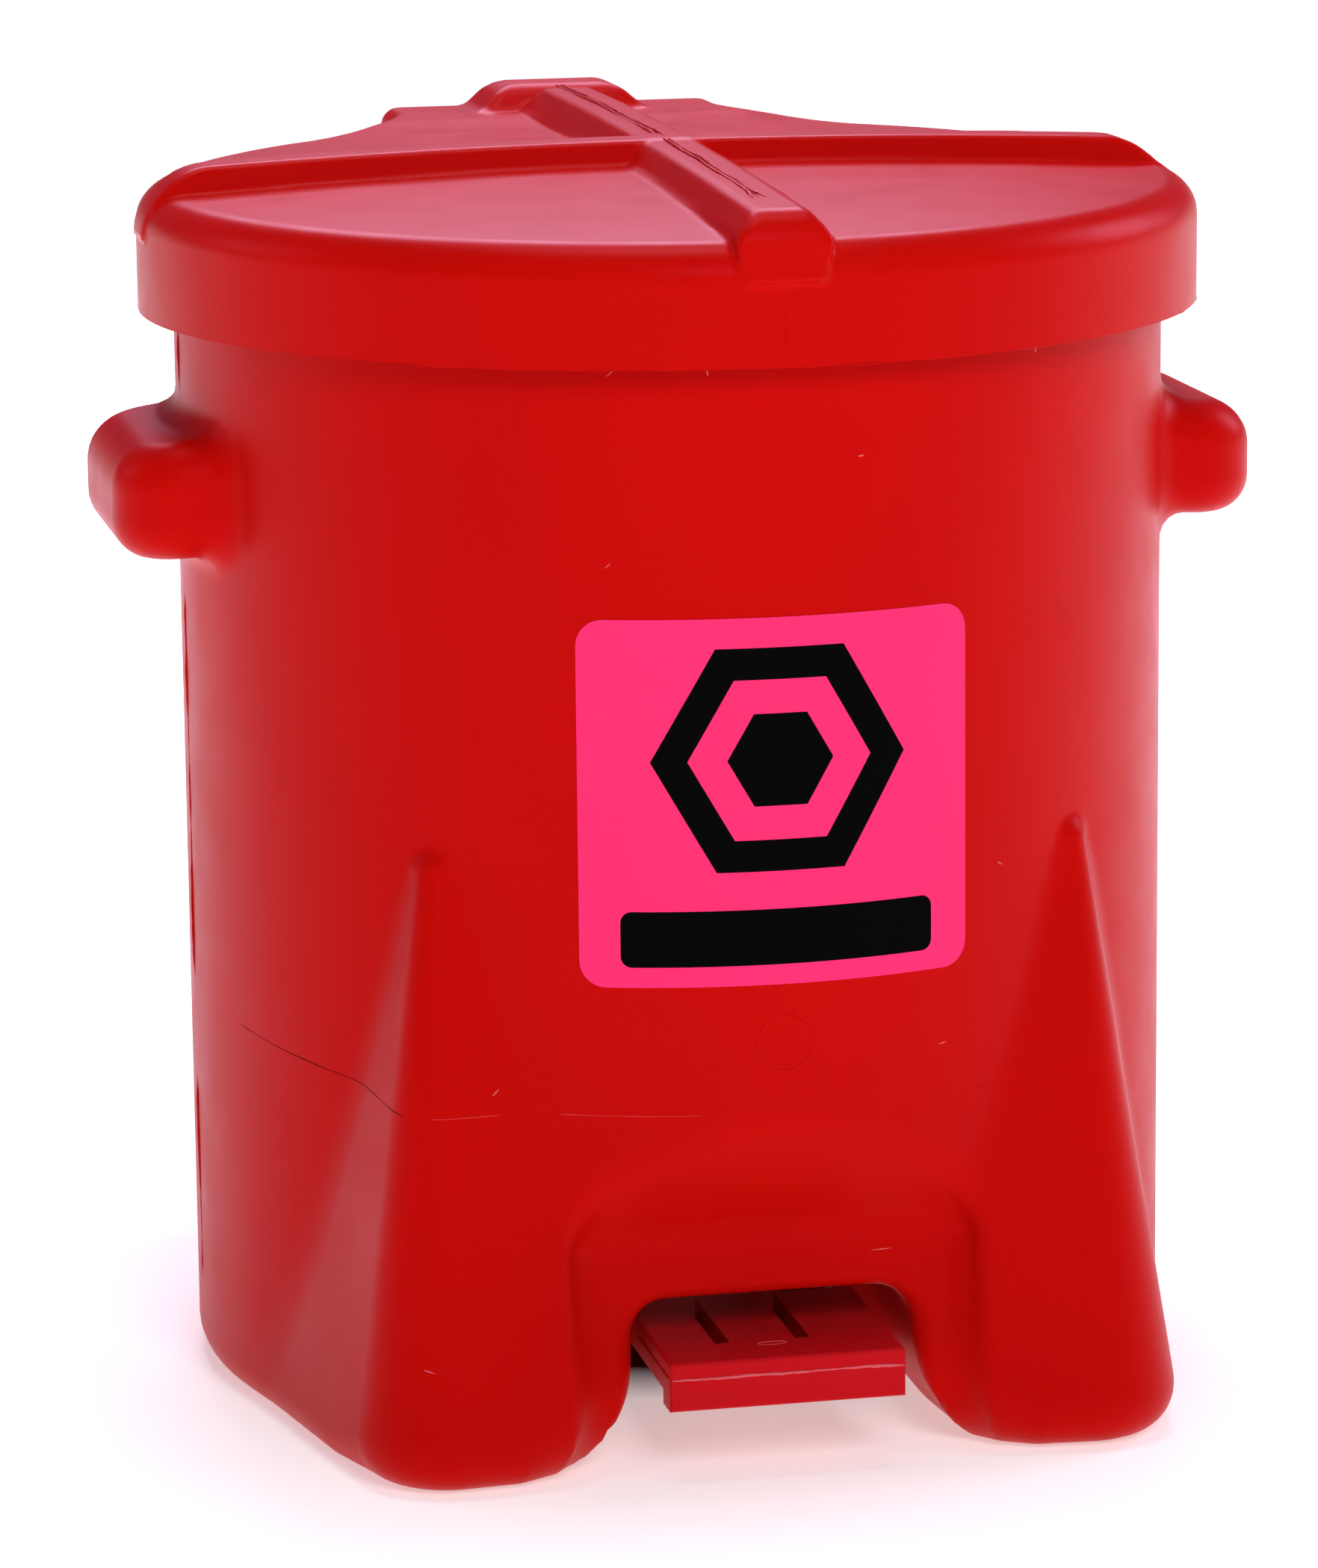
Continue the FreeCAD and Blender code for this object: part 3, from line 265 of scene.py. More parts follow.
def lid_field(x, y, z, inside=False):
    """The lid as a solid plug, or, if inside, the plug whose shrunk copy is its hollow."""
    reach = np.hypot(x, y)
    tail = round_max(np.abs(x) - TAIL_HALF, y - TAIL_BACK, TAIL_ROUND)
    tail = np.maximum(tail, TAIL_START - y)
    plan = round_min(reach - LID_RADIUS, tail, TAIL_FILLET)
    dome = LID_CROWN + LID_TILT * y - reach ** 2 / (2 * LID_DOME)
    near = np.clip((TAIL_FADE[0] - np.abs(x)) / (TAIL_FADE[0] - TAIL_FADE[1]), 0, 1)
    near = near * near * (3 - 2 * near) * np.clip((y - TAIL_RISE_FROM) / TAIL_RISE_RUN, 0, 1)
    top = dome + np.maximum(TAIL_TOP - dome, 0) * near
    at_tail = np.clip((y - TAIL_SHOULDER_FROM) / TAIL_SHOULDER_RUN, 0, 1)
    shoulder = LID_SHOULDER + (TAIL_ROUND - LID_SHOULDER) * at_tail
    lid = round_max(plan, z - top, shoulder)
    ribs = lid_ribs(x, y, z, CHANNEL_BACK if inside else LONG_RIB_BACK)
    lid = round_min(lid, ribs, RIB_BLEND)
    return lid if inside else round_min(lid, lid_boss(x, y, z), BOSS_BLEND)


def lid_inside(x, y, z):
    """The lid's plug without the boss, which is solid."""
    return lid_field(x, y, z, inside=True)


# ---------------------------------------------------------------- meshing a field


def gradient(field, points, step=0.2):
    """Unit normals of the field at points."""
    slopes = []
    for axis in range(3):
        ahead, behind = points.copy(), points.copy()
        ahead[:, axis] += step
        behind[:, axis] -= step
        slopes.append(field(*ahead.T) - field(*behind.T))
    slopes = np.stack(slopes, 1)
    return slopes / np.maximum(np.linalg.norm(slopes, axis=1, keepdims=True), 1e-9)


SLIVER, SNAPS = 0.15, 3
CORNERS = np.array([(i, j, k) for i in (0, 1) for j in (0, 1) for k in (0, 1)])
EDGES = [(a, b) for a in range(8) for b in range(a + 1, 8)
         if np.abs(CORNERS[a] - CORNERS[b]).sum() == 1]


def surface(field, level, low, high, cell):
    """Quads on field = level: one vertex per crossed cell, moved exactly onto the surface."""
    axes = [np.arange(low[i], high[i] + cell, cell) for i in range(3)]
    values = field(*np.meshgrid(*axes, indexing="ij", sparse=True)) - level
    inside = values < 0
    counts = sum(
        inside[i:inside.shape[0] - 1 + i, j:inside.shape[1] - 1 + j, k:inside.shape[2] - 1 + k]
        .astype(np.int8)
        for i, j, k in CORNERS
    )
    crossed = (counts > 0) & (counts < 8)
    cells = np.argwhere(crossed)
    number = np.full(crossed.shape, -1)
    number[crossed] = np.arange(len(cells))
    at_corner = [values[tuple((cells + corner).T)] for corner in CORNERS]
    total, hits = np.zeros((len(cells), 3)), np.zeros((len(cells), 1))
    for a, b in EDGES:
        fa, fb = at_corner[a], at_corner[b]
        hit = ((fa < 0) != (fb < 0))[:, None]
        share = (fa / np.where(fa == fb, 1, fa - fb))[:, None]
        total += np.where(hit, CORNERS[a] + share * (CORNERS[b] - CORNERS[a]), 0)
        hits += hit
    points = np.array(low) + (cells + total / hits) * cell
    for _ in range(SNAPS):
        miss = (field(*points.T) - level)[:, None]
        points -= np.clip(miss, -cell, cell) * gradient(field, points)

    quads = []
    for axis in range(3):
        first, second = [other for other in range(3) if other != axis]
        a = np.moveaxis(inside, axis, 0)
        change = np.argwhere(a[:-1, 1:-1, 1:-1] != a[1:, 1:-1, 1:-1])
        node = np.zeros((len(change), 3), int)
        node[:, axis] = change[:, 0]
        node[:, first], node[:, second] = change[:, 1] + 1, change[:, 2] + 1
        around = []
        for back_first, back_second in ((0, 0), (1, 0), (1, 1), (0, 1)):
            cell_at = node.copy()
            cell_at[:, first] -= back_first
            cell_at[:, second] -= back_second
            around.append(number[tuple(cell_at.T)])
        faces = np.stack(around, 1)
        leaving = inside[tuple(node.T)]
        if axis == 1:
            leaving = ~leaving
        faces[~leaving] = faces[~leaving][:, ::-1]
        quads.append(faces)
    return points, np.concatenate(quads)


def cut_sheet(bm, points, faces, height, keep_above):
    """Adds a sheet to bm, trimmed at a height, and returns its cut edge."""
    mesh = bpy.data.meshes.new("sheet")
    mesh.from_pydata(points.tolist(), [], faces.tolist())
    part = bmesh.new()
    part.from_mesh(mesh)
    bmesh.ops.bisect_plane(
        part, geom=part.verts[:] + part.edges[:] + part.faces[:], plane_co=(0, 0, height),
        plane_no=(0, 0, -1 if keep_above else 1), clear_outer=True)
    bmesh.ops.remove_doubles(part, verts=[v for v in part.verts if v.is_boundary], dist=SLIVER)
    part.to_mesh(mesh)
    part.free()
    known = len(bm.edges)
    bm.from_mesh(mesh)
    bpy.data.meshes.remove(mesh)
    bm.edges.ensure_lookup_table()
    return [edge for edge in bm.edges[known:] if edge.is_boundary]


def moulded_shell(name, field, inner_field, wall, low, high, rim, keep_above, cells):
    """A closed shell of even wall: outer sheet, inner sheet and the flat edge between them."""
    bm = bmesh.new()
    points, faces = surface(field, 0, low, high, cells[0])
    outer = cut_sheet(bm, points, faces, rim, keep_above)
    points, faces = surface(inner_field, -wall, low, high, cells[1])
    inner = cut_sheet(bm, points, faces[:, ::-1], rim, keep_above)
    bmesh.ops.bridge_loops(bm, edges=outer + inner)
    mesh = bpy.data.meshes.new(name)
    bm.to_mesh(mesh)
    bm.free()

    count = len(mesh.vertices)
    at = np.zeros(count * 3)
    mesh.vertices.foreach_get("co", at)
    at = at.reshape(-1, 3)
    outside = field(*at.T) > -wall / 2
    normals = np.where(outside[:, None], gradient(field, at), -gradient(inner_field, at))
    corner_vertex = np.zeros(len(mesh.loops), int)
    mesh.loops.foreach_get("vertex_index", corner_vertex)
    corner_normals = normals[corner_vertex]
    on_rim = np.abs(at[:, 2] - rim) < 1e-3
    down = -1.0 if keep_above else 1.0
    for polygon in mesh.polygons:
        if on_rim[list(polygon.vertices)].all():
            corner_normals[list(polygon.loop_indices)] = (0, 0, down)
    mesh.polygons.foreach_set("use_smooth", np.ones(len(mesh.polygons), bool))
    to_row(mesh)
    mesh.normals_split_custom_set(corner_normals.tolist())
    shell = bpy.data.objects.new(name, mesh)
    bpy.context.scene.collection.objects.link(shell)
    return shell


def to_row(mesh):
    """From millimetres about the tub's axis to metres in the row's frame."""
    at = np.zeros(len(mesh.vertices) * 3)
    mesh.vertices.foreach_get("co", at)
    at = (at.reshape(-1, 3) + (0, AXIS_Y, 0)) * MM
    mesh.vertices.foreach_set("co", at.ravel())
    mesh.update()


def mesh_object(name, points, faces):
    """A mesh piece from millimetre points about the tub's axis."""
    mesh = bpy.data.meshes.new(name)
    mesh.from_pydata([tuple(p) for p in points], [], [tuple(f) for f in faces])
    mesh.polygons.foreach_set("use_smooth", np.ones(len(mesh.polygons), bool))
    to_row(mesh)
    piece = bpy.data.objects.new(name, mesh)
    bpy.context.scene.collection.objects.link(piece)
    return piece


# ---------------------------------------------------------------- materials


def material(name, colour, roughness, **sockets):
    """Principled material with the given values on its sockets."""
    made = bpy.data.materials.new(name)
    made.use_nodes = True
    shader = made.node_tree.nodes["Principled BSDF"]
    shader.inputs["Base Color"].default_value = (*colour, 1)
    shader.inputs["Roughness"].default_value = roughness
    for socket, value in sockets.items():
        shader.inputs[socket.replace("_", " ")].default_value = value
    return made


def add(tree, kind, inputs=None, **settings):
    """A node with its settings and input values or links."""
    node = tree.nodes.new(kind)
    for key, value in settings.items():
        setattr(node, key, value)
    for key, value in (inputs or {}).items():
        if isinstance(value, bpy.types.NodeSocket):
            tree.links.new(value, node.inputs[key])
        else:
            node.inputs[key].default_value = value
    return node


def noise(tree, at, scale, detail=2.0, roughness=0.5):
    """Noise texture's value at a place."""
    return add(tree, "ShaderNodeTexNoise", {"Vector": at, "Scale": scale, "Detail": detail,
                                            "Roughness": roughness}).outputs["Fac"]


def fade(tree, value, low, high, start=0.0, end=1.0):
    """Map value from low..high to start..end, clamped."""
    return add(tree, "ShaderNodeMapRange", {"Value": value, "From Min": low, "From Max": high,
                                            "To Min": start, "To Max": end}).outputs["Result"]


def math_node(tree, operation, a, b=0.0):
    """Result of a Math node."""
    return add(tree, "ShaderNodeMath", {0: a, 1: b}, operation=operation).outputs[0]


def polyethylene(name, colour, roughness, tint=(1, 0.12, 0.25, 1), gloss=0.09):
    """Satin moulded plastic: orange peel, small specks and nicks, uneven sheen."""
    made = material(name, colour, roughness, Specular_IOR_Level=gloss, Specular_Tint=tint)
    tree = made.node_tree
    shader = tree.nodes["Principled BSDF"]
    at = add(tree, "ShaderNodeTexCoord").outputs["Object"]
    peel = noise(tree, at, 900.0, 3.0, 0.6)
    sway = noise(tree, at, 38.0, 2.0)
    blotch = noise(tree, at, 9.0, 3.0)
    specks = add(tree, "ShaderNodeTexVoronoi", {"Vector": at, "Scale": 90.0}).outputs["Distance"]
    rare = noise(tree, at, 25.0, 1.0)
    speck = math_node(tree, "MULTIPLY", fade(tree, specks, 0.045, 0.0),
                      fade(tree, rare, 0.62, 0.66))
    shade = add(tree, "ShaderNodeMix", {"Factor": fade(tree, blotch, 0.3, 0.7),
                                        "A": (*[c * 0.93 for c in colour], 1),
                                        "B": (*colour, 1)}, data_type="RGBA")
    marked = add(tree, "ShaderNodeMix", {"Factor": math_node(tree, "MULTIPLY", speck, 0.7),
                                         "A": shade.outputs["Result"],
                                         "B": (*[c * 0.4 for c in colour], 1)}, data_type="RGBA")
    tree.links.new(marked.outputs["Result"], shader.inputs["Base Color"])
    tree.links.new(fade(tree, sway, 0.3, 0.7, roughness - 0.03, roughness + 0.04),
                   shader.inputs["Roughness"])
    height = math_node(tree, "ADD", math_node(tree, "MULTIPLY", peel, 0.6),
                       math_node(tree, "MULTIPLY", sway, 0.8))
    height = math_node(tree, "SUBTRACT", height, speck)
    bump = add(tree, "ShaderNodeBump", {"Strength": 0.06, "Distance": 0.001, "Height": height})
    tree.links.new(bump.outputs["Normal"], shader.inputs["Normal"])
    return made


def steel(name, roughness, scale):
    """Drawn or rolled steel with fine lines."""
    made = material(name, (0.55, 0.55, 0.56), roughness, Metallic=1.0)
    tree = made.node_tree
    shader = tree.nodes["Principled BSDF"]
    at = add(tree, "ShaderNodeTexCoord").outputs["Object"]
    stretched = add(tree, "ShaderNodeMapping", {"Vector": at, "Scale": scale}).outputs["Vector"]
    lines = noise(tree, stretched, 300.0, 2.0)
    tree.links.new(fade(tree, lines, 0.3, 0.7, roughness - 0.08, roughness + 0.1),
                   shader.inputs["Roughness"])
    bump = add(tree, "ShaderNodeBump", {"Strength": 0.15, "Distance": 0.0002, "Height": lines})
    tree.links.new(bump.outputs["Normal"], shader.inputs["Normal"])
    return made


RED = (0.56, 0.0035, 0.0015)
PEDAL_RED = (0.58, 0.008, 0.012)
tub_red = polyethylene("tub_polyethylene", RED, 0.38)
lid_red = polyethylene("lid_polyethylene", RED, 0.34)
pedal_red = polyethylene("pedal_plastic", PEDAL_RED, 0.36)
vinyl = polyethylene("label_vinyl", (1.0, 0.035, 0.17), 0.3)
ink = polyethylene("label_ink", (0.001, 0.001, 0.001), 0.5, (1, 1, 1, 1), 0.02)
drawn_steel = steel("bright_steel", 0.28, (1, 1, 0.05))
zinc_steel = steel("zinc_steel", 0.4, (1, 0.2, 1))
nylon = polyethylene("black_nylon", (0.02, 0.02, 0.02), 0.5, (1, 1, 1, 1))
acetal = polyethylene("white_acetal", (0.72, 0.7, 0.66), 0.45, (1, 1, 1, 1))

SLOT_LOOKS = {
    "tub_plastic": tub_red, "lid_plastic": lid_red, "pedal_plastic": pedal_red,
    "label_vinyl": vinyl, "bright_steel": drawn_steel, "zinc_steel": zinc_steel,
    "guide_plastic": nylon, "bush_plastic": acetal,
}
for entry in frame["record"]["subparts"]:
    data = frame["nodes"][entry["node"]].data
    data.materials.clear()
    data.materials.append(SLOT_LOOKS[entry["material_slot"]])


# ---------------------------------------------------------------- tub and lid

MARGIN = 6.0
TUB_CELL, LID_CELL, INNER_CELL = ((3.0, 2.4, 5.0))
tub = moulded_shell(
    "tub_shell", tub_field, tub_field, TUB_WALL, np.minimum(tub_low, base_low) - MARGIN,
    np.maximum(tub_high, base_high) + MARGIN, TUB_RIM, False, (TUB_CELL, INNER_CELL))
tub.data.materials.append(tub_red)
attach(tub, "bin")
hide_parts("tub_base", "tub_upper")

lid = moulded_shell(
    "lid_shell", lid_field, lid_inside, LID_WALL, lid_low - MARGIN, lid_high + MARGIN,
    LID_RIM, True, (LID_CELL, INNER_CELL))
lid.data.materials.append(lid_red)
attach(lid, "lid")
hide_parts("lid")


# ---------------------------------------------------------------- label


def on_wall(across, z, lift):
    """Point on the tub's front, at an arc length from the centre line."""
    angle = across / TUB_RADIUS
    return ((TUB_RADIUS + lift) * math.sin(angle), -(TUB_RADIUS + lift) * math.cos(angle), z)


def curved_sheet(name, outlines, lift, thickness, step=3.0):
    """Thin sheet on the tub's front from flat outlines; those after the first are holes."""
    curve = bpy.data.curves.new(name, "CURVE")
    curve.dimensions, curve.fill_mode = "2D", "BOTH"
    for outline in outlines:
        spline = curve.splines.new("POLY")
        spline.points.add(len(outline) - 1)
        for point, (across, z) in zip(spline.points, outline):
            point.co = (across, z, 0, 1)
        spline.use_cyclic_u = True
    flat = bpy.data.objects.new(name, curve)
    mesh = bpy.data.meshes.new_from_object(flat)
    bpy.data.objects.remove(flat)
    bm = bmesh.new()
    bm.from_mesh(mesh)
    low, high = min(v.co.x for v in bm.verts), max(v.co.x for v in bm.verts)
    for cut in np.arange(low + step, high, step):
        bmesh.ops.bisect_plane(bm, geom=bm.verts[:] + bm.edges[:] + bm.faces[:],
                               plane_co=(cut, 0, 0), plane_no=(1, 0, 0))
    bmesh.ops.remove_doubles(bm, verts=bm.verts, dist=0.001)
    bm.normal_update()
    front = bm.faces[:]
    if front[0].normal.z > 0:
        bmesh.ops.reverse_faces(bm, faces=front)
    front_verts = bm.verts[:]
    rims = [edge.verts[:] for edge in bm.edges if edge.is_boundary]
    back = bmesh.ops.duplicate(bm, geom=front_verts + bm.edges[:] + front)
    back_verts = [back["vert_map"][vert] for vert in front_verts]
    back_faces = [item for item in back["geom"] if isinstance(item, bmesh.types.BMFace)]
    for vert in back_verts:
        vert.co.z = -thickness
    bmesh.ops.reverse_faces(bm, faces=back_faces)
    pairs = dict(zip(front_verts, back_verts))
    for first, second in rims:
        bm.faces.new((first, second, pairs[second], pairs[first]))
    for vert in bm.verts:
        vert.co = on_wall(vert.co.x, vert.co.y, lift + vert.co.z)
    bmesh.ops.recalc_face_normals(bm, faces=bm.faces)
    bm.to_mesh(mesh)
    bm.free()
    to_row(mesh)
    piece = bpy.data.objects.new(name, mesh)
    bpy.context.scene.collection.objects.link(piece)
    return piece


def rounded_box(low, high, radius, count=10):
    """Outline of a rectangle with round corners."""
    points = []
    for turn, (x, z) in enumerate(((high[0], high[1]), (low[0], high[1]), (low[0], low[1]),
                                   (high[0], low[1]))):
        centre = (x - math.copysign(radius, x - (low[0] + high[0]) / 2),
                  z - math.copysign(radius, z - (low[1] + high[1]) / 2))
        for i in range(count + 1):
            angle = math.pi / 2 * (turn + i / count)
            points.append((centre[0] + radius * math.cos(angle),
                           centre[1] + radius * math.sin(angle)))
    return points


LABEL_ROUND, FILM, PRINT = 9.5, 0.25, 0.06
label_half = TUB_RADIUS * math.asin(label_high[0] / (TUB_RADIUS + FILM))
label = curved_sheet(
    "label_film",
    [rounded_box((-label_half, label_low[2]), (label_half, label_high[2]), LABEL_ROUND)],
    FILM, FILM)
label.data.materials.append(vinyl)
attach(label, "bin")
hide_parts("front_label")

# Generic mark: a hexagon ring round a hexagon, over a plain bar.
MARK_CENTRE, MARK_OUTER, MARK_INNER, MARK_CORE = (0.0, 260.5), 46.0, 33.0, 19.0
BAR_HALF, BAR_LOW, BAR_HIGH, BAR_ROUND = 57.0, 187.0, 207.0, 4.0


def polygon(centre, radius, count=6):
    """Outline of a regular polygon."""
    return [(centre[0] + radius * math.cos(2 * math.pi * i / count),
             centre[1] + radius * math.sin(2 * math.pi * i / count)) for i in range(count)]


prints = {
    "label_mark_ring": [polygon(MARK_CENTRE, MARK_OUTER), polygon(MARK_CENTRE, MARK_INNER)],
    "label_mark_core": [polygon(MARK_CENTRE, MARK_CORE)],
    "label_bar": [rounded_box((-BAR_HALF, BAR_LOW), (BAR_HALF, BAR_HIGH), BAR_ROUND)],
}
for name, outlines in prints.items():
    piece = curved_sheet(name, outlines, FILM + PRINT, PRINT * 0.5)
    piece.data.materials.append(ink)
    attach(piece, "bin")


# ---------------------------------------------------------------- mould lines, flash and marks

SEED = 7
rng = np.random.default_rng(SEED)


def wander(count, amount, smooth=4):
    """Smoothed random values with a spread of about amount."""
    raw = rng.normal(0, 1, count + 2 * smooth)
    return np.convolve(raw, np.ones(2 * smooth + 1) / math.sqrt(2 * smooth + 1), "valid") * amount


def ridge(name, points, normals, half_width, height, look, body, rough=0.35, closed=False):
    """Low irregular bead along a surface: five points across, sunk a little into it."""
    points, normals = np.array(points, float), np.array(normals, float)
    count = len(points)
    ahead = np.roll(points, -1, 0) - np.roll(points, 1, 0)
    if not closed:
        ahead[0], ahead[-1] = points[1] - points[0], points[-1] - points[-2]
    side = np.cross(ahead, normals)
    side /= np.linalg.norm(side, axis=1, keepdims=True)
    heights = height * np.clip(1 + wander(count, rough), 0.25, 2.0)
    widths = half_width * np.clip(1 + wander(count, rough * 0.6), 0.4, 1.6)
    if not closed:
        taper = np.clip(np.minimum(np.arange(count), count - 1 - np.arange(count)) / 3, 0.05, 1)
        heights, widths = heights * taper, widths * (0.4 + 0.6 * taper)
    rows = []
    for across, up in ((-1, -0.4), (-0.7, 0.7), (0, 1), (0.7, 0.7), (1, -0.4)):
        rise = heights * up if up > 0 else np.full(count, up * min(height, 0.5))
        rows.append(points + side * (widths * across)[:, None] + normals * rise[:, None])
    ring = len(rows)
    verts = np.stack(rows, 1).reshape(-1, 3)
    faces = []
    for i in range(count if closed else count - 1):
        j = (i + 1) % count
        for k in range(ring):
            m = (k + 1) % ring
            faces.append((i * ring + k, i * ring + m, j * ring + m, j * ring + k))
    if not closed:
        faces.append(tuple(range(ring))[::-1])
        faces.append(tuple((count - 1) * ring + k for k in range(ring)))
    piece = mesh_object(name, verts, faces)
    bm = bmesh.new()
    bm.from_mesh(piece.data)
    bmesh.ops.recalc_face_normals(bm, faces=bm.faces)
    bm.to_mesh(piece.data)
    bm.free()
    piece.data.materials.append(look)
    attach(piece, body)


NEAREST, FARTHEST, HALVINGS = 140.0, 260.0, 40


def wall_points(bearings, heights):
    """Points and normals on the tub's outside at bearings from the front and at heights."""
    bearings, heights = np.broadcast_arrays(np.asarray(bearings, float),
                                            np.asarray(heights, float))
    out = np.stack([np.sin(bearings), -np.cos(bearings)], 1)
    near, far = np.full(len(bearings), NEAREST), np.full(len(bearings), FARTHEST)
    for _ in range(HALVINGS):
        middle_reach = (near + far) / 2
        inside = tub_field(*(out * middle_reach[:, None]).T, heights) < 0
        near, far = np.where(inside, middle_reach, near), np.where(inside, far, middle_reach)
    points = np.column_stack([out * near[:, None], heights])
    return points, gradient(tub_field, points)


def wall_ridge(name, bearings, heights, half_width, height, look=tub_red, rough=0.35, closed=False):
    """Bead on the tub's outside."""
    points, normals = wall_points(bearings, heights)
    ridge(name, points, normals, half_width, height, look, "bin", rough, closed)


# Lighter red: a painted highlight on the mould line's foot and front stretches.
painted_highlight = polyethylene("painted_highlight_plastic", (0.68, 0.03, 0.03), 0.5)
# Light pink: real scuff wear on the scuffs, the lid's burrs and the pedal's gate mark, and a painted highlight on
# the pedal's front flash.
scuff_and_highlight = polyethylene("scuff_and_highlight_plastic", (0.75, 0.12, 0.14), 0.55, (1, 0.5, 0.6, 1))
# Dark red: painted shade in the lid seam's gap and on the mould line's left stretch.
painted_crevice_shade = polyethylene("seam_shadow", (0.2, 0.002, 0.003), 0.6)

# The line round the tub where the mould's base meets its body, in stretches between bearings. It climbs on the
# left. Its left stretch is dark red as painted shade, its foot and front stretches are lighter red as a painted
# highlight, and its right stretch has the tub's own red.
MOULD_LINE_Z, CLIMB, CLIMB_FROM, CLIMB_RUN = 133.0, 12, -40, 32
LINE_STEPS = 4
for name, start, end, look in (
        ("mould_line_left", -72, -40, painted_crevice_shade), ("mould_line_foot", -37, -31, painted_highlight),
        ("mould_line_front", -25, -9, painted_highlight), ("mould_line_right", 22, 34, tub_red)):
    bearings = np.radians(np.linspace(start, end, LINE_STEPS * (end - start)))
    climb = np.clip((CLIMB_FROM - np.degrees(bearings)) / CLIMB_RUN, 0, 1)
    level = MOULD_LINE_Z + CLIMB * climb
    wall_ridge(name, bearings, level, 0.25, 0.1, look)

# The mould's two halves meet along the tub's sides.
for name, bearing in (("parting_line_left", -90), ("parting_line_right", 90)):
    for part, low, high in (("low", 34, 112), ("middle", 150, 296), ("high", 372, 397)):
        heights = np.linspace(low, high, int(high - low) // 2)
        wall_ridge(f"{name}_{part}", np.full(len(heights), math.radians(bearing)), heights,
                   0.8, 0.45)

# Ejector ring below the label, and scuffs, each with its place, length and lean.
RING_X, RING_Z, RING_RADIUS = 1, 158, 10
turn = np.linspace(0, 2 * math.pi, 72, endpoint=False)
wall_ridge("ring_mark", (RING_X + RING_RADIUS * np.cos(turn)) / TUB_RADIUS,
           RING_Z + RING_RADIUS * np.sin(turn), 0.5, 0.14, rough=0.1, closed=True)
for index, (across, level, length, lean) in enumerate((
        (46, 73.5, 9, 0.04), (-113, 46, 3.5, -0.3), (-101, 141, 3, 0.9), (62, 152, 3, 0.2),
        (-60, 330, 2.5, 0.7), (30, 366, 2.2, 0.1), (88, 214, 2.6, -0.5))):
    run = np.linspace(-length / 2, length / 2, 8)
    wall_ridge(f"scuff_{index}", (across + run * math.cos(lean)) / TUB_RADIUS,
               level + run * math.sin(lean), 0.3, 0.12, scuff_and_highlight)

# Pinched seam along the lid's front-to-back rib: two lips with a gap between them, wider apart at the front end.
# The gap is a dark bead of painted shade.
SEAM_FRONT, SEAM_BACK, SEAM_X, SEAM_STEPS = -163.0, 200.0, -1.5, 130
LIP_APART, LIP_PARTING, PARTING_RUN = 0.9, 1.6, 14
along = np.linspace(SEAM_FRONT, SEAM_BACK, SEAM_STEPS)
seam_x = SEAM_X + wander(len(along), 0.25, 6)
seam_z = long_rib_top(along)
parting = np.clip((SEAM_FRONT + PARTING_RUN - along) / PARTING_RUN, 0, 1)
spread = LIP_APART + LIP_PARTING * parting
up = np.tile((0.0, 0.0, 1.0), (len(along), 1))
for name, way in (("seam_lip_left", -1), ("seam_lip_right", 1)):
    ridge(name, np.column_stack([seam_x + way * spread, along, seam_z]), up, 0.7, 0.8, lid_red,
          "lid")
ridge("seam_gap_painted_shade", np.column_stack([seam_x, along, seam_z]), up, 0.35, 0.22, painted_crevice_shade, "lid",
      0.1)

# Trimmed lower edge of the lid, left rough by the knife.
EDGE_RADIUS, EDGE_END_Y = LID_RADIUS - 0.9, 170
turn = np.linspace(0, 2 * math.pi, 720, endpoint=False)
edge_points = np.column_stack([EDGE_RADIUS * np.sin(turn), -EDGE_RADIUS * np.cos(turn),
                               np.full(len(turn), LID_RIM)])
front_of_tail = edge_points[:, 1] < EDGE_END_Y
turn_in = np.argmax(~front_of_tail)
order = np.roll(np.arange(len(turn)), -turn_in)
order = order[front_of_tail[order]]
ridge("lid_cut_edge", edge_points[order], np.tile((0.0, 0.0, -1.0), (len(order), 1)), 0.8, 0.25,
      lid_red, "lid", 0.5)
BURR_RADIUS, BURR_STEPS = LID_RADIUS - 0.6, 6
for index, bearing in enumerate((-17.5, -8.1, 29)):
    angle = math.radians(bearing)
    root = np.array([BURR_RADIUS * math.sin(angle), -BURR_RADIUS * math.cos(angle), LID_RIM])
    hang = np.array([rng.normal(0, 0.8), rng.normal(0, 0.3), -rng.uniform(1.2, 2.2)])
    drop = np.linspace(0, 1, BURR_STEPS)[:, None] * hang
    outward = np.tile(root * (1, 1, 0) / LID_RADIUS, (BURR_STEPS, 1))
    ridge(f"lid_burr_{index}", root + drop, outward, 0.25, 0.25, scuff_and_highlight, "lid")
LINE_POINTS = 16
level = np.linspace(LID_RIM + 1, RIB_FOOT - 1, LINE_POINTS)
ridge("lid_parting_line",
      np.column_stack([np.zeros(LINE_POINTS), np.full(LINE_POINTS, -LID_RADIUS), level]),
      np.tile((0.0, -1.0, 0.0), (LINE_POINTS, 1)), 0.4, 0.08, lid_red, "lid")

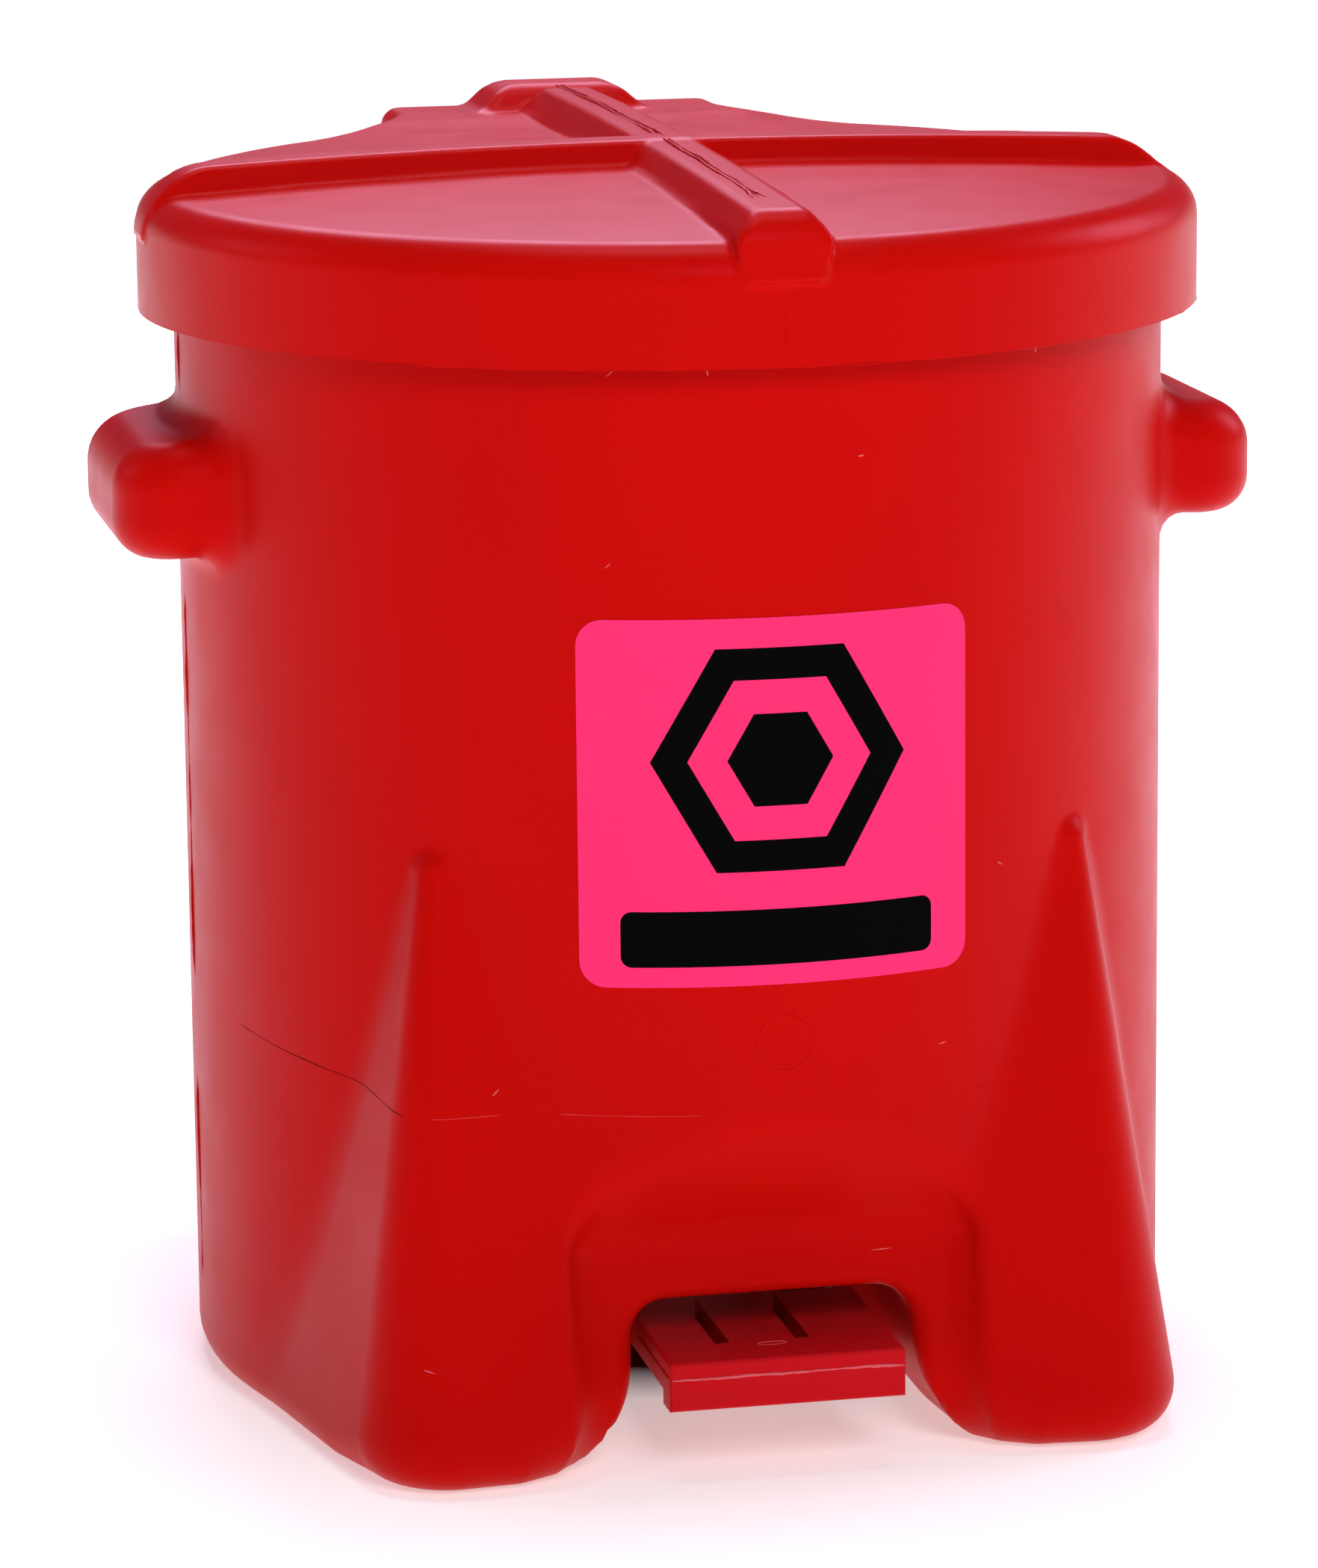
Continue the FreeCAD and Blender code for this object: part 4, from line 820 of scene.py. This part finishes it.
# Flash round the pedal's tread, and the gate mark on top of it. The front flash is light pink as a painted
# highlight, and the side flash has the pedal's own red.
FLASH_Z, FLASH_INSET, FLASH_POINTS, FLANK_RUN = lever_high[2] - 6.0, 0.5, 60, 60
run = np.linspace(0, 1, FLASH_POINTS)
front_x = lever_low[0] + FLASH_INSET + (lever_high[0] - lever_low[0] - 2 * FLASH_INSET) * run
front = np.column_stack([front_x, np.full(FLASH_POINTS, lever_low[1]),
                         FLASH_Z + wander(FLASH_POINTS, 0.15)])
ridge("pedal_flash_front", front, np.tile((0.0, -1.0, 0.0), (FLASH_POINTS, 1)), 0.45, 0.4,
      scuff_and_highlight, "pedal", 0.5)
flank_y = lever_low[1] + FLASH_INSET + FLANK_RUN * run[::2]
for name, x, outward in (("left", lever_low[0], -1.0), ("right", lever_high[0], 1.0)):
    flank = np.column_stack([np.full(len(flank_y), x), flank_y, np.full(len(flank_y), FLASH_Z)])
    ridge(f"pedal_flash_{name}", flank, np.tile((outward, 0.0, 0.0), (len(flank_y), 1)),
          0.35, 0.3, pedal_red, "pedal", 0.5)
GATE_CENTRE, GATE_HALF, GATE_POINTS = (-2, -172.5), (5.2, 1.8), 40
turn = np.linspace(0, 2 * math.pi, GATE_POINTS, endpoint=False)
gate = np.column_stack([GATE_CENTRE[0] + GATE_HALF[0] * np.cos(turn),
                        GATE_CENTRE[1] + GATE_HALF[1] * np.sin(turn),
                        np.full(GATE_POINTS, lever_high[2])])
ridge("pedal_gate_mark", gate, np.tile((0.0, 0.0, 1.0), (GATE_POINTS, 1)), 0.35, 0.18, scuff_and_highlight,
      "pedal", 0.2, closed=True)


# ---------------------------------------------------------------- camera, light and floor

CAMERA_AZIMUTH, CAMERA_ELEVATION, CAMERA_ROLL = -11.98, 12.05, -0.58
CAMERA_DISTANCE = 2377.5
TARGET_Z = 208.7
LENS, SENSOR, SHIFT = 144.06, 36.0, (-0.0084, 0.0089)


def place_camera():
    """The camera, turned about the tub's axis and tipped down."""
    azimuth, elevation = math.radians(CAMERA_AZIMUTH), math.radians(CAMERA_ELEVATION)
    back = np.array([math.sin(azimuth) * math.cos(elevation),
                     -math.cos(azimuth) * math.cos(elevation), math.sin(elevation)])
    target = np.array([0, AXIS_Y, TARGET_Z])
    data = bpy.data.cameras.new("camera")
    data.lens, data.sensor_width, data.sensor_fit = LENS, SENSOR, "AUTO"
    data.shift_x, data.shift_y = SHIFT
    data.clip_start, data.clip_end = 0.1, 20.0
    camera = bpy.data.objects.new("camera", data)
    bpy.context.scene.collection.objects.link(camera)
    camera.location = (target + back * CAMERA_DISTANCE) * MM
    camera.rotation_mode = "QUATERNION"
    camera.rotation_quaternion = (
        Quaternion((0, 0, 1), azimuth)
        @ Quaternion((1, 0, 0), math.radians(90 - CAMERA_ELEVATION))
        @ Quaternion((0, 0, 1), math.radians(CAMERA_ROLL)))
    bpy.context.scene.camera = camera


def area_light(name, at, aim, width, power, colour=(1, 1, 1)):
    """A square softbox that faces a point."""
    data = bpy.data.lights.new(name, "AREA")
    data.shape, data.size, data.energy, data.color = "SQUARE", width, power, colour
    lamp = bpy.data.objects.new(name, data)
    bpy.context.scene.collection.objects.link(lamp)
    lamp.location = at
    lamp.rotation_euler = (Vector(aim) - Vector(at)).to_track_quat("-Z", "Y").to_euler()


place_camera()
LAVENDER = (0.95, 0.7, 1)
middle = (0, AXIS_Y * MM, 0.25)
area_light("key_softbox", (0.15, -2.5, 1.75), middle, 1.1, 31)
area_light("top_softbox", (0.0, 0.2, 3.0), middle, 1.2, 30)
area_light("rim_left", (-2.2, 0.9, 1.3), middle, 0.9, 5, LAVENDER)
area_light("rim_right", (2.2, 0.6, 1.3), middle, 1.0, 18, LAVENDER)
area_light("back_softbox", (0.3, 2.4, 2.2), middle, 1.4, 42, LAVENDER)

world = bpy.data.worlds.new("studio")
world.use_nodes = True
tree = world.node_tree
gaze = add(tree, "ShaderNodeTexCoord").outputs["Generated"]
height = add(tree, "ShaderNodeSeparateXYZ", {"Vector": gaze}).outputs["Z"]
sky = add(tree, "ShaderNodeMix", {"Factor": fade(tree, height, -0.02, 0.06), "A": (1, 1, 1, 1),
                                  "B": (0.1, 0.08, 0.13, 1)}, data_type="RGBA")
tree.links.new(sky.outputs["Result"], tree.nodes["Background"].inputs["Color"])
tree.nodes["Background"].inputs["Strength"].default_value = 1.0
bpy.context.scene.world = world
bpy.context.scene.view_settings.view_transform = "Standard"

bpy.ops.mesh.primitive_plane_add(size=40)
floor = bpy.context.object
floor.name = "studio_floor"
# The dark grey is a painted shadow on the floor under the bin.
WHITE, PAINTED_SHADOW = (0.93, 0.93, 0.93), (0.12, 0.12, 0.12)
sweep = material("floor_painted_shadow_and_glow", WHITE, 0.9, Specular_IOR_Level=0.0)
tree = sweep.node_tree
shader = tree.nodes["Principled BSDF"]
place = add(tree, "ShaderNodeTexCoord").outputs["Object"]
reach = add(tree, "ShaderNodeVectorMath", {"Vector": place}, operation="LENGTH").outputs["Value"]
# Painted shadow: dark under the middle of the bin, white around it. Painted light: the floor glows from within,
# more farther out.
clear_of_painted_shadow = fade(tree, reach, 0.07, 0.11)
paint = add(tree, "ShaderNodeMix", {"Factor": clear_of_painted_shadow, "A": (*PAINTED_SHADOW, 1), "B": (*WHITE, 1)},
            data_type="RGBA")
tree.links.new(paint.outputs["Result"], shader.inputs["Base Color"])
# The floor's glow is painted light: there is none in the painted shadow, and more farther out.
shader.inputs["Emission Color"].default_value = (1, 1, 1, 1)
tree.links.new(math_node(tree, "MULTIPLY", clear_of_painted_shadow, fade(tree, reach, 0.25, 1.2, 0.45, 0.95)),
               shader.inputs["Emission Strength"])
floor.data.materials.append(sweep)
